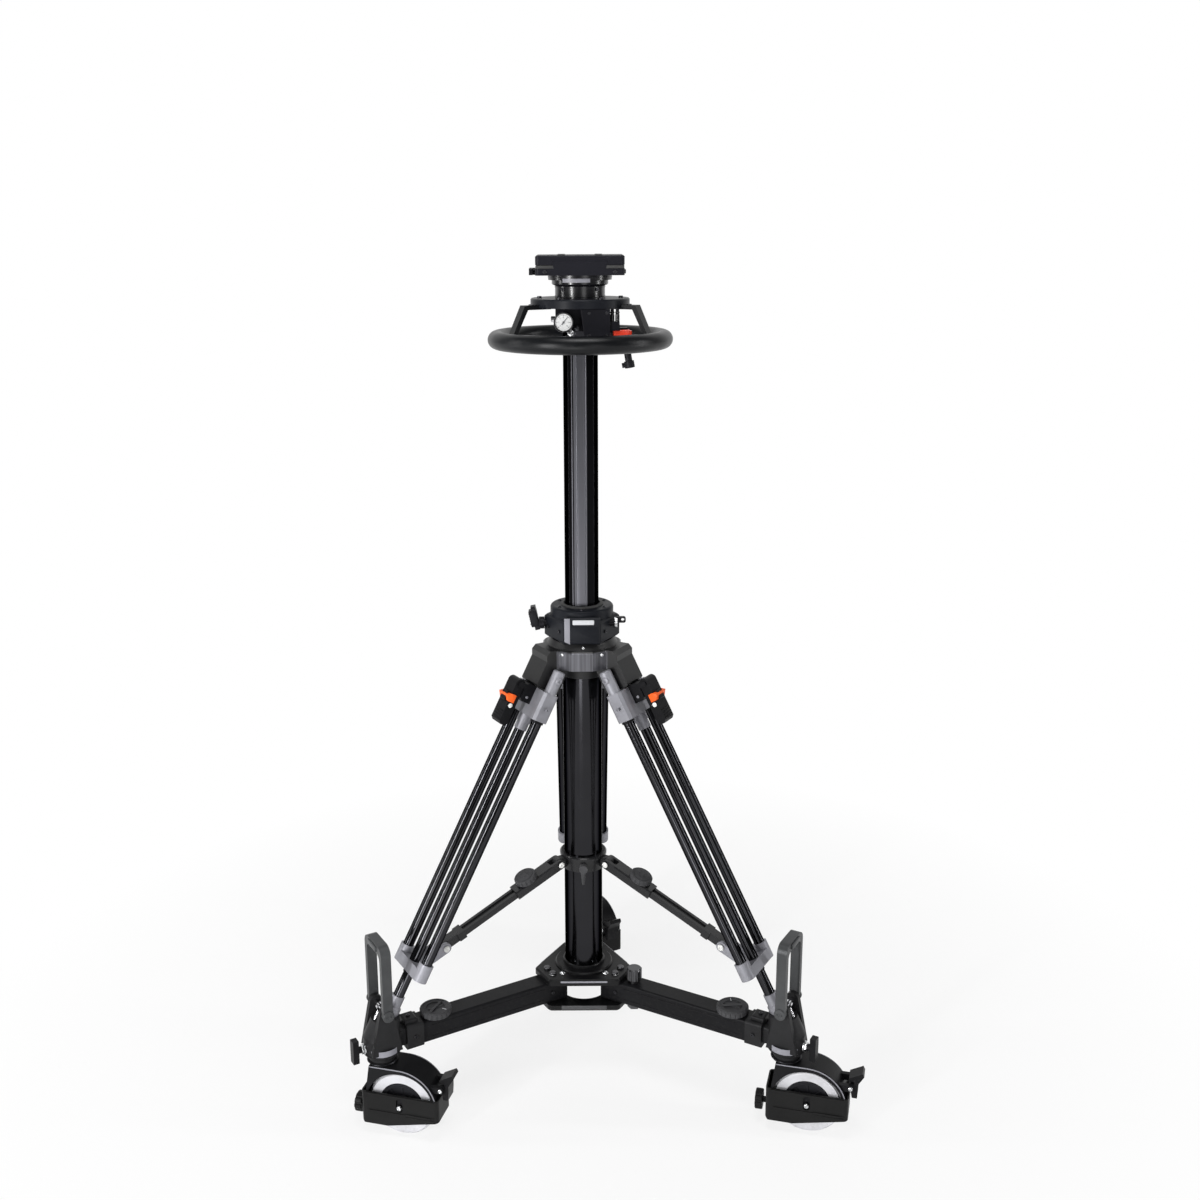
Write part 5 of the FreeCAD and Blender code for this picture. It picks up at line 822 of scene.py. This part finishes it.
def makeArmHardware(arm):
    knob = alongArm(arm, 256, 169)
    grip = {"block": ((30, 4.2, 2.4), 1), "turn": 35, "z": 0.4,
            "rim": [(22, -0.3), (21.6, 0.7), (20, 0.9), (19.4, 0.2)]}
    Piece("armKnobGrip_" + arm, "knob_" + arm, "knob_plastic").put(
        blockPart(*grip["block"], 3), knob @ turnedBy(grip["turn"]) @ shifted(0, 0, grip["z"])).put(
        spunPart(grip["rim"], 60), knob).done()
    mark = {"block": ((7, 1, 0.3), 0.1), "turn": 125, "at": (15, 0, 0.75)}
    Piece("armKnobMark_" + arm, "knob_" + arm, "knob_plastic", plateGrey).put(
        blockPart(*mark["block"]), knob @ turnedBy(mark["turn"]) @ shifted(*mark["at"])).done()

    sleeve = {"radius": 297, "reach": 19.4, "head": (2.8, 2.2)}
    root = {"radius": 66, "reach": 17, "head": (2.6, 2)}
    top = {"radius": 301, "z": 168.5, "head": (3, 2.4)}
    middle = 143
    end = Piece("sleeveScrews_" + arm, "base", "bolt_steel", blackOxide)
    for screw in (sleeve, root):
        end.put(capScrew(*screw["head"]), *onSides(alongArm(arm, screw["radius"], middle), 0, screw["reach"], 0))
    end.put(capScrew(*top["head"]), alongArm(arm, top["radius"], top["z"])).done()

    rail = {"block": ((190, 0.8, 1.6), 0.3), "radius": 175, "reach": 17.1, "apart": 9}
    Piece("armEdges_" + arm, "base", "arm_paint").put(
        blockPart(*rail["block"]),
        *[alongArm(arm, rail["radius"], middle) @ shifted(0, s * rail["reach"], t * rail["apart"])
          for s in bothSides for t in bothSides]).done()


def makeClampHardware(arm):
    place = alongArm(arm, casterCircle)
    bead = {"profile": [(26.5, 0), (27.9, 0.5), (27.9, 1.9), (26.5, 2.4)], "z": 127}
    Piece("clampRibs_" + arm, "base", "clamp_paint").put(
        spunPart(bead["profile"], 64), place @ shifted(0, 0, bead["z"])).done()

    pin = {"reach": 31.6, "z": 197, "head": (8.6, 2.2), "holes": 3.4, "hole": [(1.1, 2), (1.1, 2.35), (0, 2.35)]}
    heads = onSides(place, 0, pin["reach"], pin["z"])
    Piece("clampPinHeads_" + arm, "base", "loop_paint").put(pinHead(*pin["head"]), *heads).done()
    # dark discs on the pin heads stand for the holes, painted shade
    Piece("clampPinHoles_" + arm, "base", "pin_steel", blackOxide).put(
        spunPart(pin["hole"], 16), *[head @ shifted(k * pin["holes"]) for head in heads for k in bothSides]).done()

    # pale bands round both cheeks of the clamp, painted highlights
    band = {"radius": 26.95, "thickness": 0.5, "height": 9, "middle": 77, "half": 43, "z": 130}
    labelPlateAndHighlightBand = Piece("clampBand_" + arm, "base", "clamp_paint", edgeGrey)
    for side in bothSides:
        middle = band["middle"] * side
        labelPlateAndHighlightBand.put(bandPart(band["radius"], band["thickness"], band["height"], middle - band["half"],
                           middle + band["half"]), place @ shifted(0, 0, band["z"]))
    labelPlateAndHighlightBand.done()

    wing = {"z": 137, "washer": (8, 5.1, 1.4), "washerX": 27.2, "nut": (12.5, 4), "nutX": 28.6}
    Piece("wingWashers_" + arm, "base", "pin_steel", zincSteel).put(
        washer(*wing["washer"]), place @ shifted(wing["washerX"], 0, wing["z"]) @ turnedBy(90, "Y")).put(
        hexNut(*wing["nut"]), place @ shifted(wing["nutX"], 0, wing["z"]) @ turnedBy(90, "Y")).done()
    pad = {"block": ((3, 30, 8), 1.2), "at": (8.2, 0, 298.5)}
    Piece("loopPads_" + arm, "clamp_" + arm, "loop_paint").put(
        blockPart(*pad["block"], 3), place @ shifted(*pad["at"])).done()


def makeCasterHardware(arm):
    place = onCaster(arm)
    swivel = "caster_" + arm
    axle = {"x": 34, "z": 51}

    bearing = {"profile": [(19, 0), (22.2, 0.2), (22.8, 1), (22.2, 1.8), (19, 2)], "z": 112.5}
    Piece("swivelBearing_" + arm, swivel, "pin_steel", blackOxide).put(
        spunPart(bearing["profile"], 56), place @ shifted(0, 0, bearing["z"])).done()

    # a pale strip along the hood's rim on both sides, a painted highlight
    rimHighlight = {"outer": 56.9, "inner": 55.5, "start": 90, "step": 4, "count": 22, "tail": -46, "top": 57,
            "thickness": 0.9, "bevel": 0.2, "reach": 22.3, "z": 54}
    bend = [radians(rimHighlight["start"] - rimHighlight["step"] * k) for k in range(rimHighlight["count"])]
    outline = [(rimHighlight["tail"], rimHighlight["top"]), (0, rimHighlight["top"])]
    outline += [(rimHighlight["outer"] * cos(a), rimHighlight["outer"] * sin(a)) for a in bend]
    outline += [(rimHighlight["inner"] * cos(a), rimHighlight["inner"] * sin(a)) for a in reversed(bend)]
    outline += [(0, rimHighlight["inner"]), (rimHighlight["tail"], rimHighlight["inner"])]
    Piece("hoodTrim_" + arm, swivel, "caster_paint", edgeGrey).put(
        platePart(outline, rimHighlight["thickness"], rimHighlight["bevel"]),
        *[place @ shifted(axle["x"], side * rimHighlight["reach"] + rimHighlight["thickness"] / 2, rimHighlight["z"]) @ turnedBy(90, "X")
          for side in bothSides]).done()

    nut = {"reach": 24.9, "head": (4, 3.4)}
    Piece("axleNuts_" + arm, swivel, "pin_steel", zincSteel).put(
        domeScrew(*nut["head"]), *onSides(place, axle["x"], nut["reach"], axle["z"])).done()

    core = {"rings": (32.4, 29, 13.6), "face": 14.9, "spokes": 8, "spoke": ((14.2, 2.2, 1.8), 0.5),
            "spokeFace": 11.2, "spokeRadius": 19.8, "spokeLift": 0.4}
    wheel = Piece("wheelRings_" + arm, "wheel_" + arm, "wheel_plastic")
    for r in core["rings"]:
        wheel.put(spunPart([(r - 1, -0.4), (r - 0.8, 0.7), (r + 0.5, 0.7), (r + 0.8, -0.4)], 56),
                  *onSides(place, axle["x"], core["face"], axle["z"]))
    wheel.put(blockPart(*core["spoke"]),
              *[hub @ turnedBy(360 / core["spokes"] * k) @ shifted(core["spokeRadius"], 0, core["spokeLift"])
                for hub in onSides(place, axle["x"], core["spokeFace"], axle["z"]) for k in range(core["spokes"])])
    wheel.done()
    line = {"profile": [(47.8, -0.3), (47.4, 0.5), (46.2, 0.5), (45.8, -0.3)], "face": 14.9}
    Piece("treadLines_" + arm, "wheel_" + arm, "tread_grey").put(
        spunPart(line["profile"], 72), *onSides(place, axle["x"], line["face"], axle["z"])).done()

    edge = {"block": ((108, 0.9, 1.6), 0.3), "reach": 26, "z": 68.6}
    groove = {"block": ((44, 0.7, 1), 0.25), "x": 66, "reach": 26.2, "heights": (38, 42)}
    lip = Piece("guardLip_" + arm, "guard_" + arm, "guard_plastic")
    lip.put(blockPart(*edge["block"]),
            *[place @ shifted(axle["x"], side * edge["reach"], edge["z"]) for side in bothSides])
    lip.put(blockPart(*groove["block"]),
            *[place @ shifted(groove["x"], side * groove["reach"], z) for side in bothSides
              for z in groove["heights"]]).done()

    pin = {"at": (95, 17.5, 84), "head": (3.4, 1.6)}
    Piece("brakePins_" + arm, swivel, "pin_steel", zincSteel).put(
        domeScrew(*pin["head"]), *onSides(place, *pin["at"])).done()
    pad = {"block": ((1.4, 18, 1.2), 0.45), "count": 4, "step": 4, "x": 98, "z": 99.1,
           "slope": atan2(10, 24)}
    rise = Matrix.Rotation(-pad["slope"], 4, "Y")
    steps = [pad["step"] * k for k in range(pad["count"])]
    Piece("brakePad_" + arm, "brake_" + arm, "brake_steel").put(
        blockPart(*pad["block"]),
        *[place @ shifted(pad["x"] + s * cos(pad["slope"]), 0, pad["z"] + s * sin(pad["slope"])) @ rise
          for s in steps]).done()


makeGauge()
makeHubHardware()
makeHeadHardware()
makeLeverHardware()
makeDiscHardware()
makeBlockHardware()
makePlateHardware()
for arm in armAngles:
    makeLegHardware(arm)
    makeSpreaderHardware(arm)
    makeArmHardware(arm)
    makeClampHardware(arm)
    makeCasterHardware(arm)
print("arm, leg and caster hardware made")


# Room, light and camera

def makeRoom():
    room = {"floorHalf": 6, "wallY": 3.4, "wallHeight": 5, "bend": 1.2, "paper": (0.86, 0.86, 0.86, 1),
            "steps": 16, "glow": 1, "near": 0.42, "far": 1.1, "nearShare": 0.8}
    half, bend = room["floorHalf"], room["bend"]
    foot = room["wallY"] - bend
    mesh = bmesh.new()
    edge = mesh.edges.new([mesh.verts.new((x, -half, 0)) for x in (-half, half)])
    out = bmesh.ops.extrude_edge_only(mesh, edges=[edge])
    far = [v for v in out["geom"] if isinstance(v, bmesh.types.BMVert)]
    bmesh.ops.translate(mesh, verts=far, vec=(0, half + foot, 0))
    last = [e for e in out["geom"] if isinstance(e, bmesh.types.BMEdge) and all(v in far for v in e.verts)]
    arc = bmesh.ops.spin(mesh, geom=last, cent=(0, foot, bend), axis=(1, 0, 0), angle=pi / 2, steps=room["steps"])
    top = [g for g in arc["geom_last"] if isinstance(g, bmesh.types.BMEdge)]
    rise = bmesh.ops.extrude_edge_only(mesh, edges=top)
    bmesh.ops.translate(mesh, verts=[v for v in rise["geom"] if isinstance(v, bmesh.types.BMVert)],
                        vec=(0, 0, room["wallHeight"]))
    bmesh.ops.recalc_face_normals(mesh, faces=mesh.faces)
    data = bpy.data.meshes.new("backdrop")
    mesh.to_mesh(data)
    mesh.free()
    for face in data.polygons:
        face.use_smooth = True
    backdrop = bpy.data.objects.new("backdrop", data)
    bpy.context.scene.collection.objects.link(backdrop)
    sheet = Sheet("backdropPaper")
    camera, glossy, passing = [sheet.add("ShaderNodeLightPath", output=ray)
                               for ray in ("Is Camera Ray", "Is Glossy Ray", "Is Transmission Ray")]
    seen = sheet.within(camera + glossy + passing, 0, 1)
    away = sheet.add("ShaderNodeVectorMath", {"operation": "LENGTH"}, {0: sheet.place}, 1)
    share = seen * sheet.within(away, room["near"], room["far"], room["nearShare"], 1)
    sheet.set(Base_Color=room["paper"], Roughness=0.95, Specular_IOR_Level=0)
    paper = Wire(sheet, sheet.shader.outputs[0])
    glow = sheet.add("ShaderNodeEmission", None, {"Strength": room["glow"]})
    both = sheet.add("ShaderNodeMixShader", None, {0: share, 1: paper, 2: glow})
    sheet.feed(sheet.tree.nodes["Material Output"].inputs["Surface"], both)
    data.materials.append(sheet.material)


def makeLamps():
    studio = {"worldColour": (1, 1, 1, 1), "worldStrength": 0.12}
    lamps = {
        "frontSoft": {"place": (-1.95, -2.5, 1), "size": (0.16, 2.1), "power": 74, "aim": (-0.05, -0.1, 0.65)},
        "frontFill": {"place": (0.9, -3, 1.1), "size": (0.9, 1.6), "power": 10, "aim": (-0.05, -0.1, 0.65)},
        "frontLow": {"place": (-0.35, -1.9, 0.12), "size": (0.5, 0.7), "power": 7, "aim": (-0.05, -0.1, 0.6)},
        "edgeLeft": {"place": (-2.5, -0.2, 1.3), "size": (0.14, 2.5), "power": 18, "aim": (-0.05, -0.1, 0.6)},
        "edgeRight": {"place": (2.5, -0.5, 1.3), "size": (0.14, 2.5), "power": 24, "aim": (-0.05, -0.1, 0.6)},
        "topSoft": {"place": (0, -0.8, 3.2), "size": (1.1, 1.1), "power": 32, "aim": (-0.04, -0.08, 0.6)},
    }
    for name, lamp in lamps.items():
        data = bpy.data.lights.new(name, "AREA")
        data.shape = "RECTANGLE"
        data.size, data.size_y = lamp["size"]
        data.energy = lamp["power"]
        item = bpy.data.objects.new(name, data)
        item.location = lamp["place"]
        away = Vector(lamp["place"]) - Vector(lamp["aim"])
        item.rotation_euler = away.to_track_quat("Z", "Y").to_euler()
        bpy.context.scene.collection.objects.link(item)
    world = bpy.data.worlds.new("room")
    world.use_nodes = True
    back = world.node_tree.nodes["Background"]
    back.inputs["Color"].default_value = studio["worldColour"]
    back.inputs["Strength"].default_value = studio["worldStrength"]
    bpy.context.scene.world = world


def makeCamera():
    view = {"back": 1.940, "height": 1.294, "down": 14.04, "roll": -0.33, "lens": 40.806,
            "shiftX": 0.0153, "shiftY": -0.0255, "sensor": 36, "near": 0.05, "far": 60}
    data = bpy.data.cameras.new("viewCamera")
    data.sensor_width = view["sensor"]
    data.lens = view["lens"]
    data.shift_x, data.shift_y = view["shiftX"], view["shiftY"]
    data.clip_start, data.clip_end = view["near"], view["far"]
    item = bpy.data.objects.new("viewCamera", data)
    turn = turnedBy(90 - view["down"], "X") @ turnedBy(view["roll"])
    item.matrix_world = Matrix.Translation((axisX, axisY - view["back"], view["height"])) @ turn
    bpy.context.scene.collection.objects.link(item)
    bpy.context.scene.camera = item


makeRoom()
makeLamps()
makeCamera()
bpy.context.scene.view_settings.view_transform = "Standard"
print("room, lamps and camera ready")
